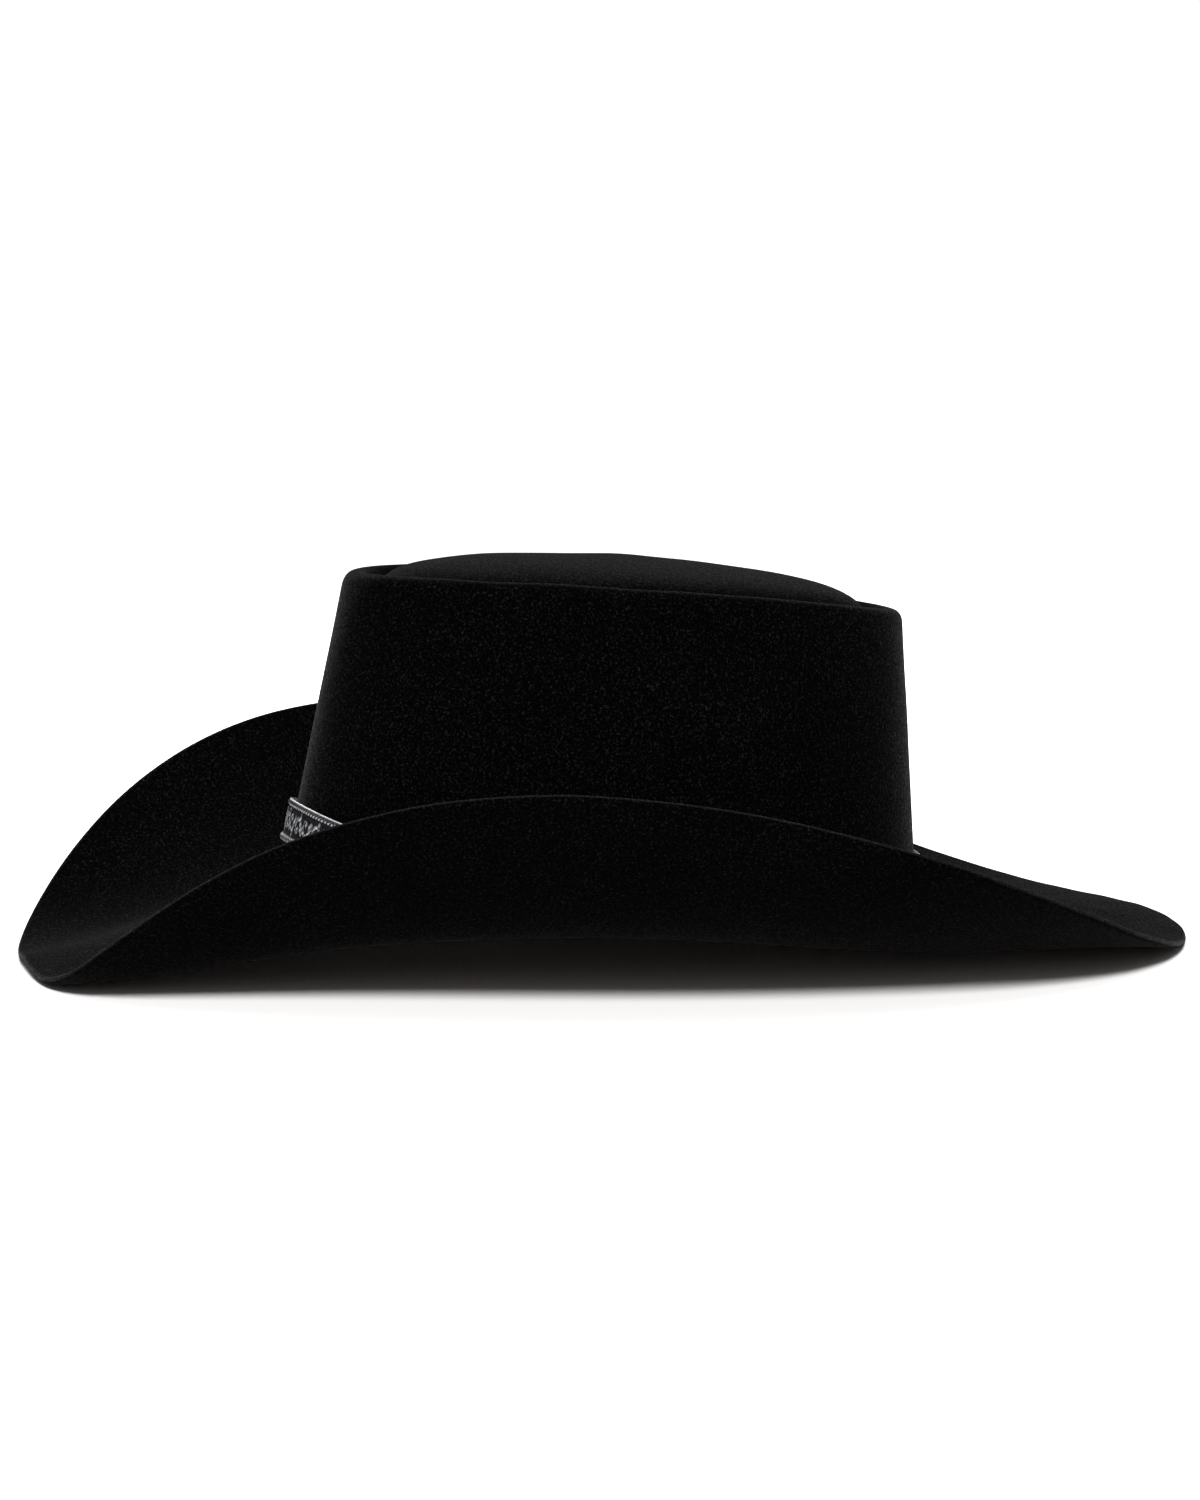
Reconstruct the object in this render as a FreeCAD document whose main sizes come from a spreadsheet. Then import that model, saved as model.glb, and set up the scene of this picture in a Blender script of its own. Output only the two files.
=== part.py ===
import FreeCAD, Part
import math
import os
import Sketcher
from FreeCAD import Placement, Rotation, Vector

# A Western felt hat with a telescope crown and a tooled leather hatband, in millimetres.
# +Z is up and z = 0 is the surface the brim rests on. The front of the hat faces -Y and the
# wearer's left is +X. The origin is the middle of the hat's footprint.
#
# Angles round the hat run from 0 at the front, through 90 at the wearer's left, to 180 at the
# back. A place on the crown's wall is given as (angle, height up the wall from the brim break,
# distance out from the felt's outer face).

os.makedirs("parts", exist_ok=True)
doc = FreeCAD.newDocument("cowboy_hat")

# ---------------------------------------------------------------- driving dimensions

SIZES = [
    ("felt_thickness", 2.3, "stiffened fur felt"),
    ("break_half_length", 103.0, "crown at the brim break, front to back"),
    ("break_half_width", 87.0, "crown at the brim break, side to side"),
    ("break_shift", 0.0, "middle of the break, along Y"),
    ("break_height", 19.9, "mean height of the break"),
    ("break_front_rise", 12.2, "how much the front of the break is above the mean"),
    ("break_saddle", 1.5, "how much front and back are above the sides"),
    ("break_third", 0.0, "third wave of the break's height"),
    ("break_fourth", 2.0, "fourth wave of the break's height"),
    ("break_round", 2.0, "rounding between wall and brim"),
    ("edge_width_one", 158.0, "brim edge, half width"),
    ("edge_width_two", -23.7, "brim edge, narrower front than back"),
    ("edge_width_three", -8.3, "brim edge, fullness of the sides"),
    ("edge_width_four", 2.5, "brim edge, fourth wave across"),
    ("edge_length_mean", -14.9, "brim edge, shift along Y"),
    ("edge_length_one", -201.5, "brim edge, half length"),
    ("edge_length_two", 13.4, "brim edge, second wave along Y"),
    ("edge_length_three", 11.8, "brim edge, third wave along Y"),
    ("edge_length_four", 1.5, "brim edge, fourth wave along Y"),
    ("edge_height_mean", 27.5, "brim edge, mean height"),
    ("edge_height_one", 3.1, "brim edge, front above back"),
    ("edge_height_two", -32.9, "brim edge, rolled sides above the ends"),
    ("edge_height_three", -4.2, "brim edge, third wave of the height"),
    ("edge_height_four", 7.6, "brim edge, fourth wave of the height"),
    ("edge_height_five", 2.1, "brim edge, fifth wave of the height"),
    ("edge_height_six", 1.2, "brim edge, sixth wave of the height"),
    ("brim_start_mean", -17.1, "brim's slope at the break, in degrees"),
    ("brim_start_one", -9.2, "brim's slope at the break, steeper at the front"),
    ("brim_start_two", -3.2, "brim's slope at the break, second wave"),
    ("brim_start_three", 3.1, "brim's slope at the break, third wave"),
    ("brim_end_mean", 22.9, "brim's slope at its edge, in degrees"),
    ("brim_end_one", 6.4, "brim's slope at its edge, first wave"),
    ("brim_end_two", -37.0, "brim's slope at its edge, rolled sides"),
    ("brim_end_three", -1.0, "brim's slope at its edge, third wave"),
    ("brim_end_four", 4.5, "brim's slope at its edge, fourth wave"),
    ("brim_handle", 0.36, "fullness of the brim's section, as a share of its chord"),
    ("ridge_half_length", 87.4, "crown's rim, front to back"),
    ("ridge_half_width", 60.2, "crown's rim, side to side"),
    ("ridge_shift", 8.0, "middle of the rim, along Y"),
    ("ridge_height", 117.4, "mean height of the rim"),
    ("ridge_front_rise", 8.3, "how much the front of the rim is above the mean"),
    ("ridge_saddle", -1.7, "how much front and back are above the sides"),
    ("ridge_round", 5.0, "rounding from the wall over the rim"),
    ("groove_depth", 8.0, "telescope crease below the rim"),
    ("groove_offset", 5.2, "bottom of the crease in from the rim"),
    ("groove_inside", 1.2, "crease's flat bottom, towards the dome"),
    ("groove_outside", 1.4, "crease's flat bottom, towards the rim"),
    ("ridge_inside", 3.0, "rounding from the crease over the rim"),
    ("dome_half_length", 79.3, "centre dome, front to back"),
    ("dome_half_width", 52.1, "centre dome, side to side"),
    ("dome_shift", 8.3, "middle of the dome, along Y"),
    ("dome_height", 125.7, "top of the dome at its middle"),
    ("dome_fall", 0.083, "how much the dome falls for each step to the back"),
    ("dome_drop", 11.1, "from the dome's top to its edge"),
    ("sweatband_height", 56.0, "leather sweatband, up the wall"),
    ("sweatband_thickness", 1.0, "roan leather"),
    ("sweatband_inset", 3.3, "sweatband's outer face in from the felt's outer face"),
    ("sweatband_stitch", 4.0, "stitches that hold the sweatband, up the wall"),
    ("reed_diameter", 1.8, "plastic reed in the sweatband's lower edge"),
    ("tape_diameter", 3.3, "woven casing round the reed"),
    ("tape_wall", 0.3, "thickness of the casing"),
    ("reed_drop", 2.1, "reed's centre below the break"),
    ("reed_inset", 4.9, "reed's centre in from the felt's outer face"),
    ("thread_diameter", 0.6, "sewing thread"),
    ("liner_thickness", 0.4, "satin"),
    ("liner_inset", 2.6, "liner's outer face in from the felt's outer face"),
    ("liner_start", 44.0, "liner's lower edge, up the wall"),
    ("liner_clearance", 15.0, "liner's tip below the rim"),
    ("piping_diameter", 1.8, "corded piping round the liner's tip"),
    ("strap_low", 2.0, "hatband's lower edge, up the wall"),
    ("strap_high", 15.4, "hatband's upper edge, up the wall"),
    ("strap_thickness", 1.2, "tooled hatband leather"),
    ("strap_out", 1.9, "middle of the hatband's leather, out from the felt"),
    ("lining_low", 0.35, "hatband lining's inner face, out from the felt"),
    ("lining_thickness", 0.7, "hatband lining"),
    ("lining_step", 0.4, "hatband lining's edges in from the leather's"),
    ("lining_start", 26.0, "hatband lining, from the bar backwards to its start"),
    ("lining_end", 16.0, "hatband lining, from its end to the bar"),
    ("thread_lift", 0.05, "threads along the hatband, clear of the leather"),
    ("edge_thread_in", 1.6, "threads along the hatband, in from its edges"),
    ("edge_thread_start", 57.0, "threads along the hatband, from the bar backwards to their start"),
    ("edge_thread_end", 22.0, "threads along the hatband, from their end to the bar"),
    ("bar_radius", 0.9, "bar of the buckle"),
    ("bar_out", 2.7, "bar of the buckle, out from the felt"),
    ("rail_width", 2.0, "front rail of the buckle"),
    ("rail_depth", 2.0, "thickness of the buckle's frame"),
    ("rail_reach", 12.0, "from the bar to the front face of the rail"),
    ("arm_width", 1.4, "side arms of the buckle"),
    ("arm_end", 1.26, "side arms of the buckle, behind the bar's middle"),
    ("buckle_window", 14.9, "height of the buckle's window"),
    ("prong_width", 1.5, "buckle's tongue"),
    ("prong_thickness", 1.3, "buckle's tongue"),
    ("prong_length", 12.8, "from the bar to the tongue's tip"),
    ("prong_angle", 12.8, "tongue's rise towards the rail, in degrees"),
    ("prong_clearance", 0.08, "running clearance of the tongue on its bar"),
    ("prong_eye", 0.8, "wall of the eye round the bar"),
    ("prong_bite", 0.3, "how far the tongue's arm starts inside the eye's wall"),
    ("prong_slot", 2.6, "width of the slot for the tongue"),
    ("keeper_place", 16.0, "middle of the keeper, behind the bar"),
    ("keeper_width", 4.5, "keeper, along the hatband"),
    ("keeper_low", 0.45, "keeper's back, out from the felt"),
    ("keeper_high", 5.75, "keeper's front, out from the felt"),
    ("keeper_wall", 0.6, "thickness of the keeper"),
    ("keeper_play", 0.3, "room inside the keeper above and below the hatband"),
    ("tip_start", 36.0, "metal tip's open end, behind the bar"),
    ("tip_length", 15.0, "metal tip, to its point"),
    ("tip_overlap", 7.0, "how far the leather goes into the metal tip"),
    ("tail_out", 3.95, "middle of the hatband's free end, out from the felt"),
    ("tip_thickness", 2.3, "metal tip"),
    ("tip_side", 0.6, "metal tip wider than the hatband, on each side"),
    ("mouth_depth", 8.5, "metal tip's mouth, with the step before its end"),
    ("backing_width", 12.0, "leather strip over the sweatband's seam"),
    ("backing_thickness", 0.8, "leather strip over the sweatband's seam"),
    ("backing_low", 5.5, "lower end of the strip, up the wall"),
    ("seam_low", 16.0, "lowest stitch of the sweatband's seam, up the wall"),
    ("seam_gap", 0.8, "gap between the sweatband's two ends"),
    ("bow_width", 30.0, "ribbon bow"),
    ("bow_height", 9.0, "ribbon bow"),
    ("bow_thickness", 1.0, "ribbon bow"),
    ("bow_up", 9.0, "bow's middle, up the wall"),
    ("knot_width", 5.0, "wrap round the bow's middle"),
    ("bow_waist", 4.0, "ribbon bow, at its middle"),
    ("knot_room", 0.2, "room between the bow and its wrap"),
    ("knot_hole", 5.6, "inside of the wrap, up the wall"),
    ("knot_wall", 0.5, "wrap round the bow's middle"),
    ("stitch_length", 3.0, "stitches of the sweatband's seam"),
    ("stitch_pitch", 5.0, "stitches of the sweatband's seam"),
    ("ferrule_length", 8.0, "sleeve that joins the reed's ends"),
    ("ferrule_diameter", 2.4, "sleeve that joins the reed's ends"),
    ("fold_stitch", 0.6, "thread that closes the hatband's fold"),
    ("fold_length", 1.6, "stitches of the fold, up the wall"),
    ("fold_pitch", 3.0, "stitches of the fold"),
    ("fold_place", 8.5, "stitches of the fold, behind the bar"),
    ("fold_through", 3.75, "stitches of the fold, through both layers"),
    ("clearance", 0.25, "room between soft pieces that lie on each other"),
]

sheet = doc.addObject("Spreadsheet::Sheet", "sizes")
for row, (alias, value, note) in enumerate(SIZES, start=1):
    sheet.set(f"A{row}", note)
    sheet.set(f"B{row}", str(value))
    sheet.setAlias(f"B{row}", alias)
doc.recompute()


def size(alias):
    """A driving dimension, read from the spreadsheet."""
    return float(sheet.get(alias))


# ---------------------------------------------------------------- curves round the hat

STATIONS = 24
ANGLES = [math.radians(360 * i / STATIONS) for i in range(STATIONS)]

# the waves round the hat, from the mean upward
WAVES = ("mean", "one", "two", "three", "four", "five", "six")
BREAK_HEIGHTS = ["break_height", "break_front_rise", "break_saddle", "break_third", "break_fourth"]
RIDGE_HEIGHTS = ["ridge_height", "ridge_front_rise", "ridge_saddle"]
EDGE_LENGTHS = ["edge_length_" + k for k in WAVES[:5]]
EDGE_WIDTHS = ["edge_width_" + k for k in WAVES[1:5]]
EDGE_HEIGHTS = ["edge_height_" + k for k in WAVES]
START_SLOPES = ["brim_start_" + k for k in WAVES[:4]]
END_SLOPES = ["brim_end_" + k for k in WAVES[:5]]


def waves(angle, aliases):
    """A cosine series whose coefficients are driving dimensions."""
    return sum(size(alias) * math.cos(k * angle) for k, alias in enumerate(aliases))


def break_point(angle):
    """The corner between the crown's wall and the brim, on the felt's outer face."""
    return Vector(
        size("break_half_width") * math.sin(angle),
        size("break_shift") - size("break_half_length") * math.cos(angle),
        waves(angle, BREAK_HEIGHTS),
    )



def edge_point(angle):
    """The brim's outer edge, on its upper face."""
    across = sum(size(alias) * math.sin((k + 1) * angle) for k, alias in enumerate(EDGE_WIDTHS))
    return Vector(across, waves(angle, EDGE_LENGTHS), waves(angle, EDGE_HEIGHTS))


def ridge_point(angle, outward=0.0, up=0.0):
    """The top of the crown's rim, moved outward and up."""
    return Vector(
        (size("ridge_half_width") + outward) * math.sin(angle),
        size("ridge_shift") - (size("ridge_half_length") + outward) * math.cos(angle),
        waves(angle, RIDGE_HEIGHTS) + up,
    )


def dome_point(angle, share, drop):
    """The centre dome, at a share of its half axes and a drop below its top."""
    y = size("dome_shift") - share * size("dome_half_length") * math.cos(angle)
    return Vector(
        share * size("dome_half_width") * math.sin(angle),
        y,
        size("dome_height") - size("dome_fall") * y - drop,
    )


def wall_axes(angle):
    """(break point, direction along the hatband, up the wall, out of the wall)."""
    base = break_point(angle)
    step = 1e-4
    along = (break_point(angle + step) - break_point(angle - step)).normalize()
    up = (ridge_point(angle, size("ridge_round"), -size("ridge_round")) - base).normalize()
    out = along.cross(up).normalize()
    return base, along, up, out


def on_wall(angle, height, out_by):
    """A point up the wall and out from it."""
    base, _, up, out = wall_axes(angle)
    return base + up * height + out * out_by


def ring(point_at):
    """The points of a closed curve round the hat."""
    return [point_at(angle) for angle in ANGLES]


# ---------------------------------------------------------------- surfaces and solids


def spline_poles(points):
    """Poles of the closed uniform cubic B-spline that passes through the points."""
    poles = [Vector(p) for p in points]
    for _ in range(60):
        last = len(poles)
        smooth = [(poles[i - 1] + poles[i] * 4 + poles[(i + 1) % last]) * (1 / 6) for i in range(last)]
        poles = [pole + point - passed for pole, point, passed in zip(poles, points, smooth)]
    return poles


def closed_patch(rows):
    """A face round the hat: closed along each row, and a Bezier curve across the rows."""
    degree = len(rows) - 1
    columns = list(zip(*[spline_poles(row) for row in rows]))
    count = len(columns)
    surface = Part.BSplineSurface()
    surface.buildFromPolesMultsKnots(
        [list(column) for column in columns],
        [1] * (count + 1), [degree + 1] * 2, [float(i) for i in range(count + 1)], [0.0, 1.0],
        True, False, 3, degree,
    )
    return surface.toShape()


def closed_curve(points):
    """The edge of closed_patch along one row."""
    poles = spline_poles(points)
    curve = Part.BSplineCurve()
    count = len(poles)
    curve.buildFromPolesMultsKnots(poles, [1] * (count + 1), [float(i) for i in range(count + 1)], True, 3)
    return curve


def sewn_solid(faces):
    """One closed solid from faces that share their edges."""
    shell = Part.makeShell(faces)
    shell.sewShape()
    solid = Part.makeSolid(shell if shell.ShapeType == "Shell" else shell.Shells[0])
    if solid.Volume < 0:
        solid.reverse()
    return solid


def closed_band(section):
    """A ring round the hat whose section has the given (height, out) corners."""
    rows = [ring(lambda angle, c=corner: on_wall(angle, *c)) for corner in section]
    pairs = zip(rows, rows[1:] + rows[:1])
    return sewn_solid([closed_patch([one, other]) for one, other in pairs])


def lines_to_solid(lines):
    """A solid whose section's corners run along the given lines of points."""
    steps = [0.0]
    for a, b in zip(lines[0], lines[0][1:]):
        steps.append(steps[-1] + (b - a).Length)
    edges = []
    for line in lines:
        curve = Part.BSplineCurve()
        curve.interpolate(Points=line, Parameters=steps)
        edges.append(curve.toShape())
    faces = [Part.makeRuledSurface(a, b) for a, b in zip(edges, edges[1:] + edges[:1])]
    for end in (0, -1):
        corners = [line[end] for line in lines]
        faces.append(Part.Face(Part.makePolygon(corners + corners[:1])))
    return sewn_solid(faces)


def open_band(start, end, section, count=41):
    """A band from one angle to another, in degrees, whose section has (height, out) corners."""
    angles = [math.radians(start + (end - start) * i / (count - 1)) for i in range(count)]
    return lines_to_solid([[on_wall(angle, *corner) for angle in angles] for corner in section])


def rectangle(low, high, inner, outer):
    """The corners of a band's section."""
    return [(low, inner), (low, outer), (high, outer), (high, inner)]


def octagon(height, out_by, diameter):
    """The corners of a thread's section."""
    turns = [math.radians(22.5 + 45 * i) for i in range(8)]
    return [
        (height + diameter / 2 * math.sin(turn), out_by + diameter / 2 * math.cos(turn)) for turn in turns
    ]


def round_ring(height_at, out_by, diameter):
    """A closed ring of round section at a height up the wall: one face, closed both ways."""
    count = 8
    # a closed uniform cubic B-spline lies inside its poles by this factor
    reach = diameter / 2 * 3 / (2 + math.cos(2 * math.pi / count))
    rows = []
    for k in range(count):
        rise = reach * math.sin(2 * math.pi * k / count)
        out = out_by + reach * math.cos(2 * math.pi * k / count)
        rows.append(spline_poles([on_wall(a, height_at(a) + rise, out) for a in ANGLES]))
    surface = Part.BSplineSurface()
    surface.buildFromPolesMultsKnots(
        [list(column) for column in zip(*rows)],
        [1] * (STATIONS + 1), [1] * (count + 1),
        [float(i) for i in range(STATIONS + 1)], [float(i) for i in range(count + 1)],
        True, True, 3, 3,
    )
    solid = Part.makeSolid(Part.makeShell([surface.toShape()]))
    if solid.Volume < 0:
        solid.reverse()
    return solid


def add_shape(label, shape):
    """A sub-part made with Part's own functions."""
    node = doc.addObject("Part::Feature", label)
    node.Shape = shape
    node.Placement = Placement()
    node.Label = label
    return node


# ---------------------------------------------------------------- felt


# control rows of the centre dome as (share of its half axes, drop below its top)
DOME_ROWS = [(0.08, -1.9), (0.55, -0.3), (0.93, 1.9)]
# how the dome turns down into the crease: outward as a share of its half axes, and down
DOME_OVERHANG = 0.02
DOME_TURN = 2.5


def section_rows():
    """The control rows of the felt's outer face, in patches from the dome to the brim's edge."""
    rim = size("ridge_round")
    depth = size("groove_depth")
    inset = size("groove_offset")
    drop = size("dome_drop")
    fillet = size("break_round")

    def wall_top(angle):
        return ridge_point(angle, rim, -rim)

    def rim_corner(angle):
        _, _, up, _ = wall_axes(angle)
        return wall_top(angle) + up * (rim / up.z)

    def brim(angle):
        base = break_point(angle)
        edge = edge_point(angle)
        chord = edge - base
        flat = Vector(chord.x, chord.y, 0).normalize()
        start = math.radians(waves(angle, START_SLOPES))
        end = math.radians(waves(angle, END_SLOPES))
        leave = flat * math.cos(start) + Vector(0, 0, math.sin(start))
        arrive = flat * math.cos(end) + Vector(0, 0, math.sin(end))
        handle = chord.Length * size("brim_handle")
        return [base + leave * fillet, base + leave * handle, edge - arrive * handle, edge]

    dome_edge = ring(lambda a: dome_point(a, 1.0, drop))
    groove = ring(lambda a: ridge_point(a, -inset, -depth))
    ridge = ring(ridge_point)
    top = ring(wall_top)
    bottom = ring(lambda a: on_wall(a, fillet, 0))
    brims = list(zip(*[brim(angle) for angle in ANGLES]))
    dome = [ring(lambda a, share=share, fall=fall: dome_point(a, share, fall)) for share, fall in DOME_ROWS]
    return [
        dome + [dome_edge],
        [dome_edge, ring(lambda a: dome_point(a, 1.0 + DOME_OVERHANG, drop + DOME_TURN)),
         ring(lambda a: ridge_point(a, -inset - size("groove_inside"), -depth)), groove],
        [groove, ring(lambda a: ridge_point(a, -inset + size("groove_outside"), -depth)),
         ring(lambda a: ridge_point(a, -size("ridge_inside"), 0)), ridge],
        [ridge, ring(rim_corner), top],
        [top, bottom],
        [bottom, ring(break_point), list(brims[0])],
        [list(one) for one in brims],
    ]


def offset_rows(patches, distance):
    """The same patches, moved inside the hat by a distance along the control net's normals."""
    rows = [patches[0][0]]
    for one in patches:
        rows += one[1:]
    count = len(rows[0])
    moved = []
    for j, row in enumerate(rows):
        line = []
        for i, point in enumerate(row):
            around = row[(i + 1) % count] - row[i - 1]
            before = (point - rows[j - 1][i]) if j else (rows[1][i] - point)
            after = (rows[j + 1][i] - point) if j + 1 < len(rows) else before
            one = around.cross(before).normalize()
            other = around.cross(after).normalize()
            line.append(point + (one + other) * (distance / (1 + one.dot(other))))
        moved.append(line)
    # the dome's middle stays flat, so that one plane closes it
    flat = Vector(0, size("dome_fall"), 1).normalize()
    moved[0] = [point - flat * distance for point in rows[0]]
    result = []
    start = 0
    for one in patches:
        result.append(moved[start:start + len(one)])
        start += len(one) - 1
    return result


outer = section_rows()
inner = offset_rows(outer, size("felt_thickness"))
felt_faces = [closed_patch(rows) for rows in outer + inner]
felt_faces.append(closed_patch([outer[-1][-1], inner[-1][-1]]))
for cap in (outer[0][0], inner[0][0]):
    felt_faces.append(Part.Face(Part.Wire(closed_curve(cap).toShape())))
felt_body = add_shape("felt_body", sewn_solid(felt_faces))

# ---------------------------------------------------------------- sweatband

sweat_outer = -size("sweatband_inset")
sweat_inner = sweat_outer - size("sweatband_thickness")
half_gap = math.degrees(size("seam_gap") / 2 / size("break_half_width"))
sweatband = add_shape("sweatband", open_band(
    -180 + half_gap, 180 - half_gap, rectangle(0, size("sweatband_height"), sweat_inner, sweat_outer)))


def reed_ring(diameter):
    """A ring along the middle of the reed."""
    return round_ring(lambda angle: -size("reed_drop"), -size("reed_inset"), diameter)


add_shape("sweatband_reed", reed_ring(size("reed_diameter")))
casing = reed_ring(size("tape_diameter"))
casing_bore = reed_ring(size("tape_diameter") - 2 * size("tape_wall"))
add_shape("reed_tape", casing.cut(casing_bore))

clearance = size("clearance")

# the seam at the back of the sweatband, with the strip and the zigzag of thread that close it
strip_outer = sweat_inner - clearance
strip_inner = strip_outer - size("backing_thickness")
strip_half = math.degrees(size("backing_width") / 2 / size("break_half_width"))
strip_ends = (size("backing_low"), size("sweatband_height") - 2.0)
add_shape("seam_backing", open_band(
    180 - strip_half, 180 + strip_half, rectangle(*strip_ends, strip_inner, strip_outer), 7))

# the thread that sews the felt, the casing and the sweatband together
thread = size("thread_diameter")
add_shape("sweatband_thread", closed_band(octagon(
    size("sweatband_stitch"), sweat_inner - clearance - thread / 2, thread)))

# ---------------------------------------------------------------- liner

liner_outer = -size("liner_inset")
liner_inner = liner_outer - size("liner_thickness")
slope = 2 * size("ridge_front_rise") / (2 * size("ridge_half_length"))
tip_height = size("ridge_height") - size("liner_clearance")


def height_at_tip(angle, drop=0.0):
    """How far up the wall the liner's tilted tip lies."""
    base, _, up, _ = wall_axes(angle)
    plane = tip_height - drop - slope * base.y
    return (plane - base.z) / (up.z + slope * up.y)


def tip_plane(point, drop=0.0):
    """The point moved up or down on to the plane of the liner's tip."""
    return Vector(point.x, point.y, tip_height - drop - slope * point.y)


piping = size("piping_diameter")
side_top = piping + clearance
side_rows = []
for rising, out_by in ((False, liner_inner), (False, liner_outer), (True, liner_outer), (True, liner_inner)):
    side_rows.append(ring(lambda a, r=rising, o=out_by: on_wall(
        a, height_at_tip(a, side_top) if r else size("liner_start"), o)))
add_shape("liner_side", sewn_solid(
    [closed_patch([one, other]) for one, other in zip(side_rows, side_rows[1:] + side_rows[:1])]))

tip_ring = ring(lambda a: tip_plane(on_wall(a, height_at_tip(a), liner_inner - piping - clearance)))
tip_face = Part.Face(Part.Wire(closed_curve(tip_ring).toShape()))
normal = Vector(0, slope, 1).normalize()
add_shape("liner_tip", tip_face.extrude(normal * -size("liner_thickness")))

add_shape("liner_piping", round_ring(
    lambda angle: height_at_tip(angle, piping / 2), liner_inner - piping / 2, piping))

# ---------------------------------------------------------------- hatband

SIDE = 90.0  # the buckle sits over the wearer's left ear


def angle_of(distance):
    """The angle, in radians, at a distance behind the buckle's bar along the hatband."""
    return math.radians(SIDE) + distance / size("break_half_length")


def strap_route():
    """The middle of the strap's thickness as (distance behind the bar, distance out)."""
    flat = size("strap_out")
    bar = size("bar_out")
    fold = size("bar_radius") + size("clearance") + size("strap_thickness") / 2
    tail = size("tail_out")
    lap = size("tip_start") + size("tip_overlap")
    free_end = [(lap, tail), (lap * 0.75, tail), (lap * 0.5, tail), (14.0, tail + 0.25), (9.0, tail + 0.85)]
    over_bar = [(4.5, tail + 1.7), (0.0, bar + fold + size("strap_thickness") + 0.35), (-3.2, tail + 1.15)]
    under_rail = [(-5.8, 2.85), (-8.4, 1.5), (-11.0, 1.12), (-14.5, 1.3), (-19.0, flat)]
    whole = 2 * math.pi * size("break_half_length")
    start, end = -28.0, -whole + 22.0
    steps = 42
    round_crown = [(start + (end - start) * i / steps, flat) for i in range(steps + 1)]
    to_fold = [(17.0 - whole, flat + 0.02), (12.5 - whole, flat + 0.5), (7.0 - whole, bar + fold - 1.05),
               (3.0 - whole, bar + fold - 0.2)]
    turns = [math.radians(90 + 18 * i) for i in range(11)]
    round_bar = [(fold * math.cos(t) - whole, bar + fold * math.sin(t)) for t in turns]
    back = [(3.5 - whole, bar - fold), (7.0 - whole, bar - fold), (10.0 - whole, bar - fold)]
    return free_end + over_bar + under_rail + round_crown + to_fold + round_bar + back


def strap_lines(low, high):
    """The strap's four long edges."""
    route = strap_route()
    half = size("strap_thickness") / 2
    lines = [[], [], [], []]
    for i, (along, out_by) in enumerate(route):
        a = route[max(i - 1, 0)]
        b = route[min(i + 1, len(route) - 1)]
        length = math.hypot(b[0] - a[0], b[1] - a[1])
        side = ((b[1] - a[1]) / length * half, -(b[0] - a[0]) / length * half)
        for line, sign, height in zip(lines, (-1, -1, 1, 1), (low, high, high, low)):
            place = angle_of(along + sign * side[0])
            line.append(on_wall(place, height, out_by + sign * side[1]))
    return lines


strap = lines_to_solid(strap_lines(size("strap_low"), size("strap_high")))
middle = (size("strap_low") + size("strap_high")) / 2


def hatband_frame(distance, height, out_by):
    """A placement on the hatband: X runs backwards along it, Y up the wall and Z out."""
    angle = angle_of(distance)
    _, along, _, out = wall_axes(angle)
    rotation = Rotation(along, out.cross(along), out, "ZXY")
    return Placement(on_wall(angle, height, out_by), rotation)


bar_frame = hatband_frame(0, middle, size("bar_out"))
slot_start, slot_end, slot_depth = -8.0, 3.0, 12.0
slot = Part.makeBox(slot_end - slot_start, size("prong_slot"), slot_depth,
                    Vector(slot_start, -size("prong_slot") / 2, -slot_depth / 2))
slot.Placement = bar_frame
add_shape("hatband_strap", strap.cut(slot))

lining_start = math.degrees(angle_of(size("lining_start")))
lining_end = 360 + math.degrees(angle_of(-size("lining_end")))
lining_outer = size("lining_low") + size("lining_thickness")
add_shape("hatband_lining", open_band(
    lining_start, lining_end,
    rectangle(size("strap_low") + size("lining_step"), size("strap_high") - size("lining_step"),
              size("lining_low"), lining_outer), 61))

thread_start = math.degrees(angle_of(size("edge_thread_start")))
thread_end = 360 + math.degrees(angle_of(-size("edge_thread_end")))
thread_out = size("strap_out") + size("strap_thickness") / 2 + thread / 2 + size("thread_lift")
thread_in = size("edge_thread_in")
for label, height in (("upper", size("strap_high") - thread_in), ("lower", size("strap_low") + thread_in)):
    add_shape(f"hatband_{label}_thread", open_band(
        thread_start, thread_end, octagon(height, thread_out, thread), 61))

# ---------------------------------------------------------------- pieces made as bodies


def new_body(label, placement):
    """A PartDesign body with its own label and place."""
    body = doc.addObject("PartDesign::Body", label)
    body.Label = label
    body.Placement = placement
    return body


def new_sketch(body, name):
    """A sketch on the body's own XY plane."""
    sketch = body.newObject("Sketcher::SketchObject", name)
    plane = [f for f in body.Origin.OriginFeatures if f.Role == "XY_Plane"][0]
    sketch.AttachmentSupport = [(plane, "")]
    sketch.MapMode = "FlatFace"
    return sketch


def distance(sketch, kind, first, second, expression):
    """A dimension between two (line, end) points, bound to an expression."""
    number = sketch.addConstraint(Sketcher.Constraint(kind, *first, *second, 1.0))
    sketch.setExpression(f"Constraints[{number}]", expression)


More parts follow.
